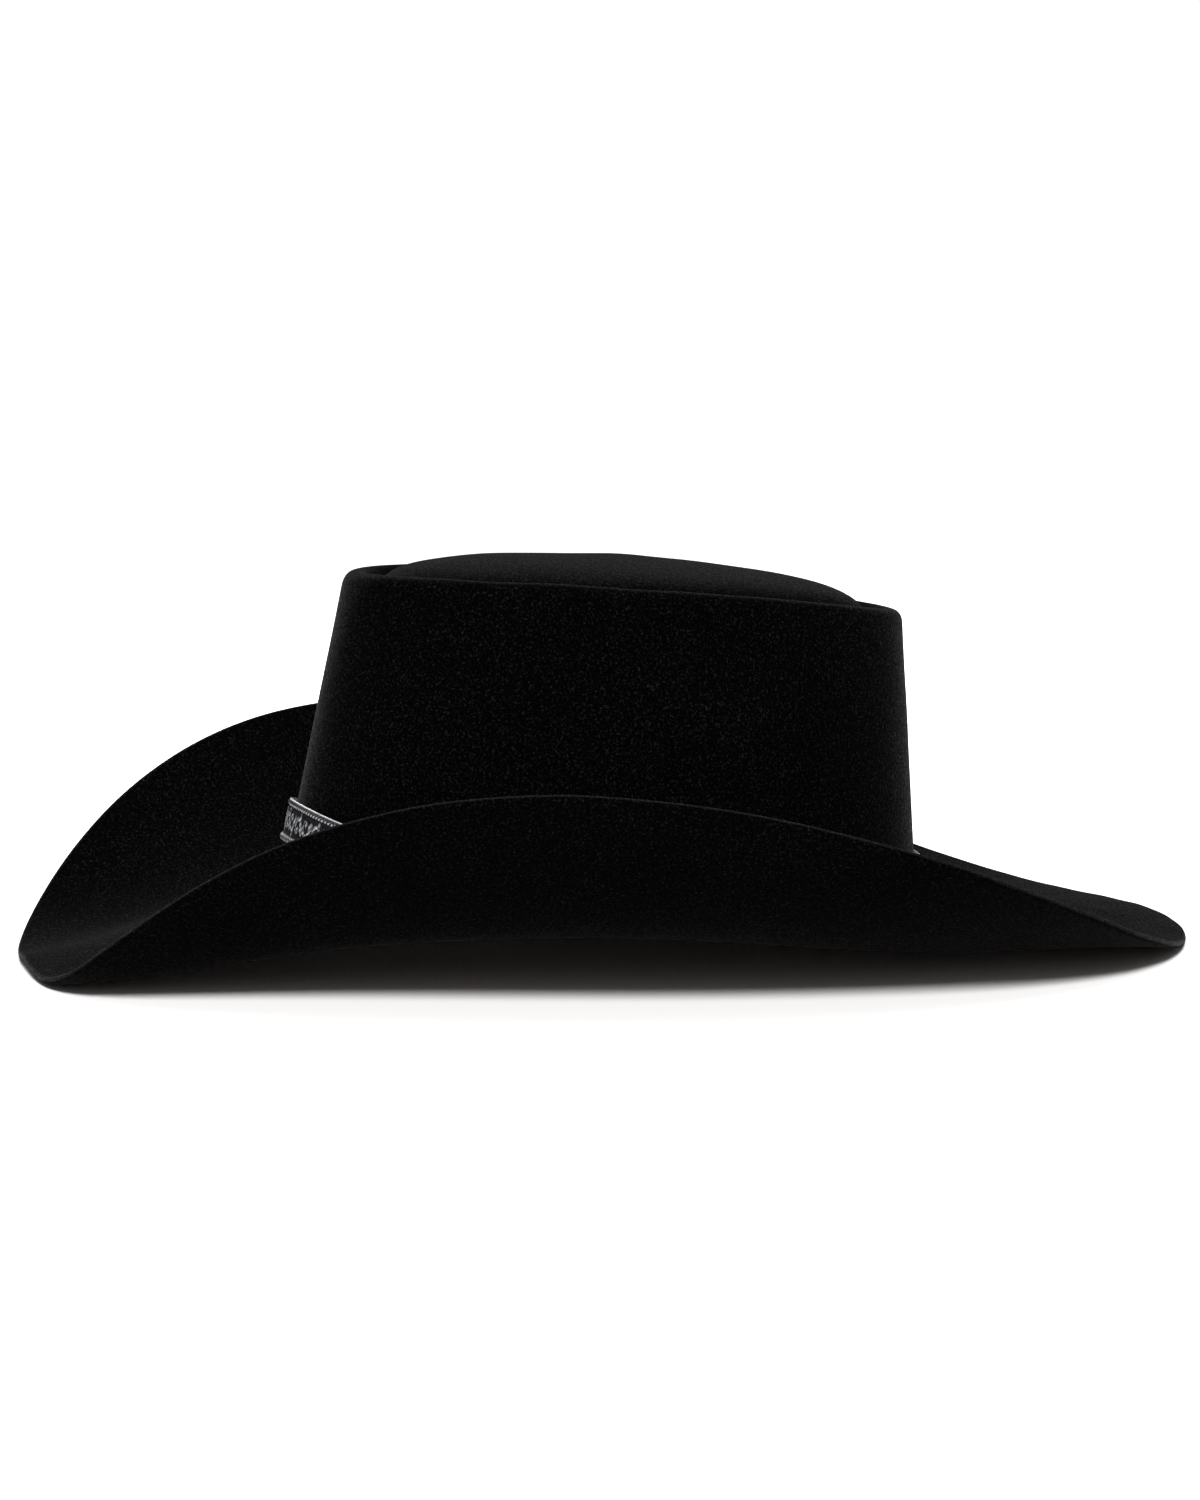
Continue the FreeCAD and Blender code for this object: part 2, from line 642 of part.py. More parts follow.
def rectangle_in(sketch, wide, tall, across=None, up=None):
    """A rectangle of the given size, with its corner at the origin or across and up from it."""
    first = sketch.GeometryCount
    corners = [Vector(1, 1), Vector(3, 1), Vector(3, 2), Vector(1, 2)]
    for a, b in zip(corners, corners[1:] + corners[:1]):
        sketch.addGeometry(Part.LineSegment(a, b), False)
    for k in range(4):
        after = first + (k + 1) % 4
        direction = "Horizontal" if k % 2 == 0 else "Vertical"
        sketch.addConstraint(Sketcher.Constraint("Coincident", first + k, 2, after, 1))
        sketch.addConstraint(Sketcher.Constraint(direction, first + k))
    distance(sketch, "DistanceX", (first, 1), (first, 2), wide)
    distance(sketch, "DistanceY", (first + 1, 1), (first + 1, 2), tall)
    if across is None:
        sketch.addConstraint(Sketcher.Constraint("Coincident", -1, 1, first, 1))
    else:
        distance(sketch, "DistanceX", (-1, 1), (first, 1), across)
        distance(sketch, "DistanceY", (-1, 1), (first, 1), up)


def pad(body, sketch, length):
    """A pad of the sketch whose length is bound to an expression."""
    feature = body.newObject("PartDesign::Pad", sketch.Name + "_pad")
    feature.Profile = sketch
    feature.setExpression("Length", length)
    return feature


def pocket(body, sketch, length):
    """A pocket of the sketch, into the body's +Z side."""
    feature = body.newObject("PartDesign::Pocket", sketch.Name + "_pocket")
    feature.Profile = sketch
    feature.Reversed = True
    feature.setExpression("Length", length)
    return feature


def from_corner(placement, x, y, z):
    """The placement moved by a step in its own axes."""
    return placement.multiply(Placement(Vector(x, y, z), Rotation()))


# buckle: a frame with a window, and a round bar across the window's open end
frame_reach = size("rail_reach")
frame_tall = size("buckle_window") + 2 * size("arm_width")
frame_low = -0.5
buckle = new_body("buckle_frame", from_corner(bar_frame, -frame_reach, -frame_tall / 2, frame_low))
plate = new_sketch(buckle, "buckle_plate")
rectangle_in(plate, "sizes.rail_reach + sizes.arm_end", "sizes.buckle_window + 2 * sizes.arm_width")
pad(buckle, plate, "sizes.rail_depth")
window = new_sketch(buckle, "buckle_window")
rectangle_in(window, "sizes.rail_reach", "sizes.buckle_window", "sizes.rail_width", "sizes.arm_width")
pocket(buckle, window, "sizes.rail_depth")
bar = buckle.newObject("PartDesign::AdditiveCylinder", "buckle_bar")
bar.setExpression("Radius", "sizes.bar_radius")
bar.setExpression("Height", "sizes.buckle_window + sizes.arm_width")
bar.Placement = Placement(
    Vector(frame_reach, size("arm_width") / 2, -frame_low), Rotation(Vector(1, 0, 0), -90))

# tongue: an eye round the bar and an arm that rests over the front rail
tilt = Placement(Vector(), Rotation(Vector(0, 1, 0), size("prong_angle")))
on_edge = Placement(Vector(0, size("prong_width") / 2, 0), Rotation(Vector(1, 0, 0), 90))
prong = new_body("buckle_prong", bar_frame.multiply(tilt).multiply(on_edge))
eye = new_sketch(prong, "prong_eye")
for k, expression in enumerate(("sizes.bar_radius + sizes.prong_clearance",
                                "sizes.bar_radius + sizes.prong_clearance + sizes.prong_eye")):
    eye.addGeometry(Part.Circle(Vector(0, 0), Vector(0, 0, 1), 1.0 + k), False)
    eye.addConstraint(Sketcher.Constraint("Coincident", k, 3, -1, 1))
    number = eye.addConstraint(Sketcher.Constraint("Radius", k, 1.0 + k))
    eye.setExpression(f"Constraints[{number}]", expression)
pad(prong, eye, "sizes.prong_width")
arm = prong.newObject("PartDesign::AdditiveBox", "prong_arm")
arm.setExpression(
    "Length", "sizes.prong_length - sizes.bar_radius - sizes.prong_clearance - sizes.prong_bite")
arm.setExpression("Width", "sizes.prong_thickness")
arm.setExpression("Height", "sizes.prong_width")
arm.Placement = Placement(Vector(-size("prong_length"), -size("prong_thickness") / 2, 0), Rotation())

# keeper: a loop round the hatband and its free end
keeper_tall = size("strap_high") - size("strap_low") + 2 * (size("keeper_play") + size("keeper_wall"))
keeper_frame = hatband_frame(size("keeper_place"), middle, size("keeper_low"))
across_band = Rotation(Vector(0, 1, 0), Vector(0, 0, 1), Vector(1, 0, 0), "ZXY")
keeper = new_body("keeper_loop", keeper_frame.multiply(
    Placement(Vector(-size("keeper_width") / 2, -keeper_tall / 2, 0), across_band)))
loop = new_sketch(keeper, "keeper_section")
inside = "sizes.strap_high - sizes.strap_low + 2 * sizes.keeper_play"
rectangle_in(loop, inside + " + 2 * sizes.keeper_wall", "sizes.keeper_high - sizes.keeper_low")
rectangle_in(loop, inside, "sizes.keeper_high - sizes.keeper_low - 2 * sizes.keeper_wall",
             "sizes.keeper_wall", "sizes.keeper_wall")
pad(keeper, loop, "sizes.keeper_width")

# metal tip: a round-ended cap over the hatband's free end
strap_wide = size("strap_high") - size("strap_low")
tip_wide = strap_wide + 2 * size("tip_side")
tip_middle = size("tip_start") + size("tip_length") / 2
cap_frame = hatband_frame(tip_middle, middle, size("tail_out"))
tip = new_body("strap_tip", from_corner(
    cap_frame, -size("tip_length") / 2, -tip_wide / 2, -size("tip_thickness") / 2))
cap = new_sketch(tip, "tip_outline")
straight, half = size("tip_length") - tip_wide / 2, tip_wide / 2
corners = [Vector(straight, 0), Vector(0, 0), Vector(0, 2 * half), Vector(straight, 2 * half)]
for a, b in zip(corners, corners[1:]):
    cap.addGeometry(Part.LineSegment(a, b), False)
circle = Part.Circle(Vector(straight, half), Vector(0, 0, 1), half)
cap.addGeometry(Part.ArcOfCircle(circle, -math.pi / 2, math.pi / 2), False)
for k in (0, 1):
    cap.addConstraint(Sketcher.Constraint("Coincident", k, 2, k + 1, 1))
cap.addConstraint(Sketcher.Constraint("Coincident", -1, 1, 1, 1))
cap.addConstraint(Sketcher.Constraint("Horizontal", 0))
cap.addConstraint(Sketcher.Constraint("Vertical", 1))
cap.addConstraint(Sketcher.Constraint("Horizontal", 2))
cap.addConstraint(Sketcher.Constraint("Tangent", 0, 1, 3, 1))
cap.addConstraint(Sketcher.Constraint("Tangent", 2, 2, 3, 2))
distance(cap, "DistanceY", (1, 1), (1, 2), "sizes.strap_high - sizes.strap_low + 2 * sizes.tip_side")
distance(cap, "DistanceX", (2, 1), (2, 2),
         "sizes.tip_length - (sizes.strap_high - sizes.strap_low) / 2 - sizes.tip_side")
pad(tip, cap, "sizes.tip_thickness")
mouth = tip.newObject("PartDesign::SubtractiveBox", "tip_mouth")
mouth.setExpression("Length", "sizes.mouth_depth")
mouth.setExpression("Width", "sizes.strap_high - sizes.strap_low + 2 * sizes.clearance")
mouth.setExpression("Height", "sizes.strap_thickness + 2 * sizes.clearance")
mouth_out = (size("tip_thickness") - size("strap_thickness")) / 2 - clearance
mouth.Placement = Placement(
    Vector(-1, (tip_wide - strap_wide) / 2 - clearance, mouth_out), Rotation())


def back_frame(height, out_by):
    """A placement inside the back of the crown: X to the wearer's right, Y up, Z out of the felt."""
    _, along, _, out = wall_axes(math.pi)
    return Placement(on_wall(math.pi, height, out_by), Rotation(along, out.cross(along), out, "ZXY"))


# bow: a flat ribbon with a narrow waist, and the wrap round the waist
waist = size("bow_waist")
bow_face = strip_inner - clearance - size("knot_wall") - size("knot_room")
bow_place = back_frame(size("bow_up"), bow_face - size("bow_thickness"))
bow = new_body("bow_ribbon", from_corner(bow_place, -size("bow_width") / 2, -size("bow_height") / 2, 0))
ribbon = new_sketch(bow, "ribbon_outline")
wide, tall = size("bow_width"), size("bow_height")
outline = [Vector(0, 0), Vector(wide / 2, (tall - waist) / 2), Vector(wide, 0), Vector(wide, tall),
           Vector(wide / 2, (tall + waist) / 2), Vector(0, tall)]
for a, b in zip(outline, outline[1:] + outline[:1]):
    ribbon.addGeometry(Part.LineSegment(a, b), False)
for k in range(6):
    ribbon.addConstraint(Sketcher.Constraint("Coincident", k, 2, (k + 1) % 6, 1))
ribbon.addConstraint(Sketcher.Constraint("Coincident", -1, 1, 0, 1))
ribbon.addConstraint(Sketcher.Constraint("Vertical", 2))
ribbon.addConstraint(Sketcher.Constraint("Vertical", 5))
ribbon.addConstraint(Sketcher.Constraint("Vertical", 0, 2, 3, 2))
ribbon.addConstraint(Sketcher.Constraint("Horizontal", 0, 1, 1, 2))
distance(ribbon, "DistanceX", (0, 1), (1, 2), "sizes.bow_width")
distance(ribbon, "DistanceX", (0, 1), (0, 2), "sizes.bow_width / 2")
distance(ribbon, "DistanceY", (2, 1), (2, 2), "sizes.bow_height")
distance(ribbon, "DistanceY", (0, 1), (0, 2), "(sizes.bow_height - sizes.bow_waist) / 2")
distance(ribbon, "DistanceY", (0, 2), (3, 2), "sizes.bow_waist")
distance(ribbon, "DistanceY", (5, 2), (5, 1), "sizes.bow_height")
pad(bow, ribbon, "sizes.bow_thickness")

wrap_room = size("knot_room")
knot_tall = size("knot_hole") + 2 * size("knot_wall")
knot_deep = size("bow_thickness") + 2 * (wrap_room + size("knot_wall"))
knot_place = back_frame(size("bow_up"), bow_face + wrap_room + size("knot_wall") - knot_deep)
knot = new_body("bow_knot", knot_place.multiply(
    Placement(Vector(-size("knot_width") / 2, -knot_tall / 2, 0), across_band)))
wrap = new_sketch(knot, "knot_section")
rectangle_in(wrap, "sizes.knot_hole + 2 * sizes.knot_wall",
             "sizes.bow_thickness + 2 * (sizes.knot_room + sizes.knot_wall)")
rectangle_in(wrap, "sizes.knot_hole", "sizes.bow_thickness + 2 * sizes.knot_room",
             "sizes.knot_wall", "sizes.knot_wall")
pad(knot, wrap, "sizes.knot_width")

# ---------------------------------------------------------------- pieces made from primitives


def bound_box(name, expressions, placement):
    """A Part box with its three sizes bound to expressions."""
    box = doc.addObject("Part::Box", name)
    for side, text in zip(("Length", "Width", "Height"), expressions):
        box.setExpression(side, text)
    box.Placement = placement
    return box


def group(label, pieces):
    """Several separate solids as one sub-part."""
    node = doc.addObject("Part::Compound", label)
    node.Links = pieces
    node.Label = label
    return node


rows_of_stitches = int((strip_ends[1] - size("seam_low")) // size("stitch_pitch"))
seam = []
for column in (-1, 1):
    for k in range(rows_of_stitches):
        place = back_frame(size("seam_low") + k * size("stitch_pitch"), strip_inner - thread / 2)
        seam.append(bound_box(
            f"seam_stitch_{len(seam) + 1}",
            ("sizes.thread_diameter", "sizes.stitch_length", "sizes.thread_diameter"),
            from_corner(place, column * (size("backing_width") / 2 - 2.0), 0, 0)))
group("seam_stitches", seam)

fold_stitches = []
for k in range(4):
    height = size("strap_low") + 1.5 + size("fold_pitch") * k
    place = hatband_frame(size("fold_place"), height, size("lining_low") - size("thread_lift"))
    fold_stitches.append(bound_box(
        f"fold_stitch_{k + 1}", ("sizes.fold_stitch", "sizes.fold_length", "sizes.fold_through"), place))
group("fold_stitches", fold_stitches)

sleeve_place = back_frame(-size("reed_drop"), -size("reed_inset"))
sleeve_turn = Placement(Vector(-size("ferrule_length") / 2, 0, 0), Rotation(Vector(0, 1, 0), 90))
sleeve = []
for name, radius in (("ferrule_outside", "sizes.ferrule_diameter / 2"),
                     ("ferrule_bore", "sizes.reed_diameter / 2")):
    cylinder = doc.addObject("Part::Cylinder", name)
    cylinder.setExpression("Radius", radius)
    cylinder.setExpression("Height", "sizes.ferrule_length")
    cylinder.Placement = sleeve_place.multiply(sleeve_turn)
    sleeve.append(cylinder)
ferrule = doc.addObject("Part::Cut", "reed_ferrule")
ferrule.Base, ferrule.Tool = sleeve
ferrule.Label = "reed_ferrule"

# ---------------------------------------------------------------- check and write

SUB_PARTS = [
    "felt_body", "sweatband", "sweatband_reed", "reed_tape", "reed_ferrule", "seam_backing",
    "seam_stitches", "sweatband_thread", "bow_ribbon", "bow_knot", "liner_side", "liner_tip",
    "liner_piping", "hatband_strap", "hatband_lining", "hatband_upper_thread",
    "hatband_lower_thread", "fold_stitches", "buckle_frame", "buckle_prong", "keeper_loop", "strap_tip",
]

doc.recompute()
for made in doc.Objects:
    if {"Invalid", "Error"} & set(made.State):
        raise RuntimeError(f"{made.Name} is {made.State}")
for label in SUB_PARTS:
    shape = doc.getObjectsByLabel(label)[0].Shape
    if shape.isNull() or not shape.isValid() or shape.Volume <= 0:
        raise RuntimeError(f"{label} has no valid solid")
    shape.exportStep(f"parts/{label}.step")
    print(f"{label:22} {len(shape.Solids):3} solids {shape.Volume:12.1f} mm3")
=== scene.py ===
import math

import bmesh
import bpy
import numpy as np
from mathutils import Matrix, Vector


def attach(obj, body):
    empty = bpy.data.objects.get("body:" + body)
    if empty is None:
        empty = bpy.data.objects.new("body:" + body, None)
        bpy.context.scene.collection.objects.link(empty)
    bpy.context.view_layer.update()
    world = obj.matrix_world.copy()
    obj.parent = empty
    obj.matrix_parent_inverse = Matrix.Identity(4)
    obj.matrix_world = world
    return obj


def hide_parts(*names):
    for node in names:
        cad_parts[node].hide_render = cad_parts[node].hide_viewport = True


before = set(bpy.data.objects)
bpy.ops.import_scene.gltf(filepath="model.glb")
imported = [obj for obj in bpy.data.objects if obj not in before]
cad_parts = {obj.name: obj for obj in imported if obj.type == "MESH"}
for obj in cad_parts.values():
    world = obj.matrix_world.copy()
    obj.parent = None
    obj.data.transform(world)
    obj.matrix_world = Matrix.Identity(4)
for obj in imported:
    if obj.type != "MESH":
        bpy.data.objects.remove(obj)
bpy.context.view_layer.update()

# A black felt Western hat. Shapes are worked out in millimetres, in the frame of the CAD model,
# and scaled to metres as each mesh is made. Angles run from 0 at the front of the hat through
# 90 degrees at the wearer's left to 180 degrees at the back. A place on the crown is given as
# (angle, height up the wall from the brim break, distance out from the felt's outer face).

MM = 0.001
FULL_TURN = 2 * math.pi

# ---------------------------------------------------------------- the hat's own curves, in mm

FELT_THICKNESS = 2.3
BREAK_HALF_WIDTH, BREAK_HALF_LENGTH, BREAK_SHIFT = 87.0, 103.0, 0.0
BREAK_HEIGHT = (19.9, 12.2, 1.5, 0.0, 2.0)
BREAK_ROUND = 2.0
RIDGE_HALF_WIDTH, RIDGE_HALF_LENGTH, RIDGE_SHIFT = 60.2, 87.4, 8.0
RIDGE_HEIGHT = (117.4, 8.3, -1.7)
RIDGE_ROUND = 5.0
GROOVE_DEPTH, GROOVE_OFFSET = 8.0, 5.2
DOME_HALF_WIDTH, DOME_HALF_LENGTH, DOME_SHIFT = 52.1, 79.3, 8.3
DOME_HEIGHT, DOME_FALL, DOME_DROP = 125.7, 0.083, 11.1
EDGE_ACROSS = (158.0, -23.7, -8.3, 2.5)
EDGE_ALONG = (-14.9, -201.5, 13.4, 11.8, 1.5)
EDGE_HEIGHT = (27.5, 3.1, -32.9, -4.2, 7.6, 2.1, 1.2)
BRIM_HANDLE = 0.36


def cosines(angle, terms):
    return sum(term * np.cos(k * angle) for k, term in enumerate(terms))


def sines(angle, terms):
    return sum(term * np.sin((k + 1) * angle) for k, term in enumerate(terms))


def stack(x, y, z):
    return np.stack(np.broadcast_arrays(x, y, z), -1).astype(float)


def turns(count):
    """Angles that divide a full turn evenly."""
    return np.linspace(0, FULL_TURN, count, endpoint=False)


def squared(value, power):
    """A sine or cosine raised to a power, which turns a circle into a rounded square."""
    return math.copysign(abs(value) ** power, value)


def bump(value, width):
    """A smooth ridge of the given half width."""
    return np.exp(-(value / width) ** 2)


def unit(vectors):
    return vectors / np.maximum(np.linalg.norm(vectors, axis=-1, keepdims=True), 1e-12)


def break_point(angle):
    """The corner between the crown's wall and the brim."""
    return stack(
        BREAK_HALF_WIDTH * np.sin(angle),
        BREAK_SHIFT - BREAK_HALF_LENGTH * np.cos(angle),
        cosines(angle, BREAK_HEIGHT),
    )


def edge_point(angle):
    """The brim's outer edge, on its upper face."""
    return stack(sines(angle, EDGE_ACROSS), cosines(angle, EDGE_ALONG), cosines(angle, EDGE_HEIGHT))


def ridge_point(angle, outward=0.0, up=0.0):
    """The top of the crown's rim, moved outward and up."""
    return stack(
        (RIDGE_HALF_WIDTH + outward) * np.sin(angle),
        RIDGE_SHIFT - (RIDGE_HALF_LENGTH + outward) * np.cos(angle),
        cosines(angle, RIDGE_HEIGHT) + up,
    )


def dome_point(angle, share, drop):
    """The centre dome, at a share of its half axes and a drop below its top."""
    y = DOME_SHIFT - share * DOME_HALF_LENGTH * np.cos(angle)
    return stack(share * DOME_HALF_WIDTH * np.sin(angle), y, DOME_HEIGHT - DOME_FALL * y - drop)


def wall_axes(angle):
    """(break point, direction along the hatband, up the wall, out of the wall)."""
    base = break_point(angle)
    step = 1e-4
    along = unit(break_point(angle + step) - break_point(angle - step))
    up = unit(ridge_point(angle, RIDGE_ROUND, -RIDGE_ROUND) - base)
    return base, along, up, unit(np.cross(along, up))


def on_wall(angle, height, out_by):
    """Points up the wall and out from it. The three values broadcast together."""
    angle, height, out_by = np.broadcast_arrays(*[np.asarray(v, float) for v in (angle, height, out_by)])
    base, _, up, out = wall_axes(angle)
    return base + up * height[..., None] + out * out_by[..., None]


# ---------------------------------------------------------------- meshes


def add_to_scene(name, data):
    made = bpy.data.objects.new(name, data)
    bpy.context.scene.collection.objects.link(made)
    return made


def make_object(name, points, faces, material, body="hat", slot=None, smooth=True):
    """A mesh object from points in millimetres, riding on a body."""
    mesh = bpy.data.meshes.new(name)
    mesh.from_pydata((np.asarray(points, float) * MM).tolist(), [], faces)
    mesh.update()
    made = add_to_scene(name, mesh)
    if smooth:
        mesh.shade_smooth()
    mesh.materials.append(material)
    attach(made, body)
    return made


def grid_faces(rows, columns, wrap_rows, first=0):
    """Quads over a grid of points numbered row by row. Each row is a closed loop."""
    i, j = np.meshgrid(np.arange(rows if wrap_rows else rows - 1), np.arange(columns), indexing="ij")
    after_i, after_j = (i + 1) % rows, (j + 1) % columns
    quads = np.stack([i * columns + j, i * columns + after_j, after_i * columns + after_j,
                      after_i * columns + j], -1).reshape(-1, 4)
    return (quads + first).tolist()


def end_faces(rows, columns, first=0):
    """One face over the first row and one over the last."""
    last = first + (rows - 1) * columns
    return [list(range(first, first + columns)), list(range(last, last + columns))[::-1]]


def tube_grid(name, grid, material, closed, **about):
    """A closed surface from sections: grid[i] is the loop of section i."""
    grid = np.asarray(grid)
    size = grid.shape[:2]
    faces = grid_faces(*size, closed) + ([] if closed else end_faces(*size))
    made = make_object(name, grid.reshape(-1, 3), faces, material, **about)
    fix_normals(made)
    return made


def fan_grid(name, grid, material, **about):
    """A closed surface from loops, with a fan of triangles inside the first and the last."""
    grid = np.asarray(grid)
    rows, columns = grid.shape[:2]
    faces = grid_faces(rows, columns, False)
    middle, last = rows * columns, (rows - 1) * columns
    for j in range(columns):
        after = (j + 1) % columns
        faces.append([middle, j, after])
        faces.append([last + j, middle + 1, last + after])
    points = np.concatenate([grid.reshape(-1, 3), [grid[0].mean(0), grid[-1].mean(0)]])
    made = make_object(name, points, faces, material, **about)
    fix_normals(made)
    return made


def fix_normals(made):
    """Turn every face outward."""
    work = bmesh.new()
    work.from_mesh(made.data)
    bmesh.ops.recalc_face_normals(work, faces=work.faces)
    work.to_mesh(made.data)
    work.free()


def cut_box(made, place, spans, material):
    """Cut a box out of a mesh. The spans are the box's limits along the axes of place."""
    corners = place([(x, y, z) for x in spans[0] for y in spans[1] for z in spans[2]])
    faces = [(0, 1, 3, 2), (4, 6, 7, 5), (0, 4, 5, 1), (2, 3, 7, 6), (0, 2, 6, 4), (1, 5, 7, 3)]
    cutter = make_object("cutter", corners, faces, material, smooth=False)
    fix_normals(cutter)
    cut = made.modifiers.new("cut", "BOOLEAN")
    cut.operation = "DIFFERENCE"
    cut.solver = "EXACT"
    cut.object = cutter
    graph = bpy.context.evaluated_depsgraph_get()
    mesh = bpy.data.meshes.new_from_object(made.evaluated_get(graph))
    made.modifiers.clear()
    made.data = mesh
    bpy.data.objects.remove(cutter)


# ---------------------------------------------------------------- materials


class NodeMaterial:
    """A material made of nodes in front of its shader, which follow the object's own space."""

    def __init__(self, name):
        self.material = bpy.data.materials.new(name)
        self.material.use_nodes = True
        self.nodes = self.material.node_tree.nodes
        self.links = self.material.node_tree.links
        self.shader = self.nodes["Principled BSDF"]
        self.place = self.nodes.new("ShaderNodeTexCoord").outputs["Object"]

    def node(self, kind, output, links, **inputs):
        """An output of a new node, with links into some inputs and plain values in others."""
        node = self.nodes.new("ShaderNode" + kind)
        for key, value in inputs.items():
            node.inputs[key].default_value = value
        for key, value in links.items():
            self.links.new(value, node.inputs[key])
        return node.outputs[output]

    def noise(self, scale, detail=3.0, roughness=0.55):
        return self.node("TexNoise", "Fac", {"Vector": self.place},
                         Scale=scale, Detail=detail, Roughness=roughness)

    def ramp(self, value, *stops):
        """A colour ramp through (position, colour) or (position, grey value) stops."""
        node = self.nodes.new("ShaderNodeValToRGB")
        while len(node.color_ramp.elements) < len(stops):
            node.color_ramp.elements.new(0.5)
        for element, (position, colour) in zip(node.color_ramp.elements, stops):
            element.position = position
            element.color = (*(colour if isinstance(colour, tuple) else [colour] * 3), 1.0)
        self.links.new(value, node.inputs["Fac"])
        return node.outputs["Color"]

    def bump(self, height, strength, distance, before=None):
        links = {"Height": height} if before is None else {"Height": height, "Normal": before}
        return self.node("Bump", "Normal", links, Strength=strength, Distance=distance)

    def finish(self, driven, **fixed):
        """Link the driven inputs of the shader, set the fixed ones and return the material."""
        for key, value in driven.items():
            self.links.new(value, self.shader.inputs[key])
        for key, value in fixed.items():
            self.shader.inputs[key.replace("_", " ")].default_value = value
        return self.material


def felt_material(name, dark, middle, light, sheen):
    """Fur felt: near black, with pale fibre tips and a sheen at grazing angles."""
    felt = NodeMaterial(name)
    nap = felt.noise(1250, 3, 0.7)
    clumps = felt.noise(420, 4, 0.6)
    cloud = felt.noise(28, 3, 0.5)
    shade = felt.nodes.new("ShaderNodeMix")
    shade.data_type = "RGBA"
    shade.blend_type = "MULTIPLY"
    shade.inputs["Factor"].default_value = 1.0
    felt.links.new(felt.ramp(nap, (0.45, dark), (0.56, middle), (0.70, light)), shade.inputs["A"])
    felt.links.new(felt.ramp(cloud, (0.3, 0.8), (0.7, 1.2)), shade.inputs["B"])
    return felt.finish({
        "Base Color": shade.outputs["Result"],
        "Sheen Weight": felt.ramp(nap, (0.42, sheen * 0.2), (0.64, sheen * 2.0)),
        "Normal": felt.bump(nap, 0.7, 0.0003, felt.bump(clumps, 0.2, 0.0004)),
    }, Roughness=1.0, Specular_IOR_Level=0.012, Sheen_Roughness=0.3, Sheen_Tint=(0.8, 0.8, 0.82, 1.0))


def leather_material(name, dark, light, roughness, grain):
    """Leather with a pebbled grain, soft colour clouds and uneven gloss."""
    leather = NodeMaterial(name)
    depth = 0.00015
    pebbles = leather.node("TexVoronoi", "Distance", {"Vector": leather.place}, Scale=grain)
    fine = leather.noise(3200)
    return leather.finish({
        "Base Color": leather.ramp(leather.noise(90, 4), (0.3, dark), (0.7, light)),
        "Roughness": leather.ramp(fine, (0.3, roughness * 0.8), (0.7, roughness * 1.25)),
        "Normal": leather.bump(fine, 0.3, depth, leather.bump(pebbles, 0.5, depth)),
    }, Specular_IOR_Level=0.5)


def tooled_material(name):
    """Carved leather: a matt dyed ground, with the carved pattern glossier and painted pale blue-grey as
    a standing highlight.
    """
    leather = NodeMaterial(name)
    attribute = leather.nodes.new("ShaderNodeAttribute")
    attribute.attribute_name = "raised_and_glint"
    raised_and_glint = attribute.outputs["Fac"]
    return leather.finish({
        # painted highlight: the higher the carving stands, the paler its colour, standing for glints of
        # light on the relief
        "Base Color": leather.ramp(raised_and_glint, (0.2, (0.003, 0.003, 0.0032)), (0.5, (0.085, 0.089, 0.099)),
                                   (0.9, (0.36, 0.375, 0.41))),
        "Roughness": leather.ramp(raised_and_glint, (0.38, 0.8), (0.6, 0.16)),
        "Specular IOR Level": leather.ramp(raised_and_glint, (0.38, 0.05), (0.6, 1.0)),
        "Normal": leather.bump(leather.noise(3000), 0.25, 0.00006),
    })


def woven_material(name, dark, light, pitch, roughness, sheen, angle=0.0):
    """Cloth or thread with fine ribs at the given pitch in metres."""
    cloth = NodeMaterial(name)
    turned = cloth.node("Mapping", "Vector", {"Vector": cloth.place}, Rotation=(angle, angle, 0.0))
    waves = []
    for direction in ("X", "Y", "Z"):
        wave = cloth.nodes.new("ShaderNodeTexWave")
        wave.bands_direction = direction
        wave.inputs["Scale"].default_value = 0.314 / pitch
        wave.inputs["Distortion"].default_value = 0.6
        cloth.links.new(turned, wave.inputs["Vector"])
        waves.append(wave.outputs["Fac"])
    ribs = waves[0]
    for operation, wave in (("MULTIPLY", waves[1]), ("ADD", waves[2])):
        joined = cloth.nodes.new("ShaderNodeMath")
        joined.operation = operation
        cloth.links.new(ribs, joined.inputs[0])
        cloth.links.new(wave, joined.inputs[1])
        ribs = joined.outputs[0]
    return cloth.finish({
        "Base Color": cloth.ramp(cloth.noise(900, 4), (0.3, dark), (0.75, light)),
        "Normal": cloth.bump(ribs, 0.35, pitch * 0.25),
    }, Roughness=roughness, Specular_IOR_Level=0.35, Sheen_Weight=sheen, Sheen_Roughness=0.4)


def metal_material(name):
    """Antiqued nickel: bright, and dark where noise leaves tarnish."""
    metal = NodeMaterial(name)
    tarnish = metal.noise(700, 5, 0.65)
    return metal.finish({
        "Base Color": metal.ramp(tarnish, (0.35, (0.10, 0.095, 0.09)), (0.5, (0.55, 0.53, 0.50)),
                                 (0.75, (0.72, 0.70, 0.67))),
        "Roughness": metal.ramp(tarnish, (0.3, 0.5), (0.7, 0.2)),
        "Normal": metal.bump(metal.noise(5200, 2), 0.12, 0.00005),
    }, Metallic=1.0)


def plastic_material(name):
    plastic = NodeMaterial(name)
    drift = plastic.noise(300)
    return plastic.finish({
        "Base Color": plastic.ramp(drift, (0.3, (0.62, 0.60, 0.55)), (0.7, (0.75, 0.73, 0.68))),
        "Normal": plastic.bump(drift, 0.1, 0.0001),
    }, Roughness=0.4)


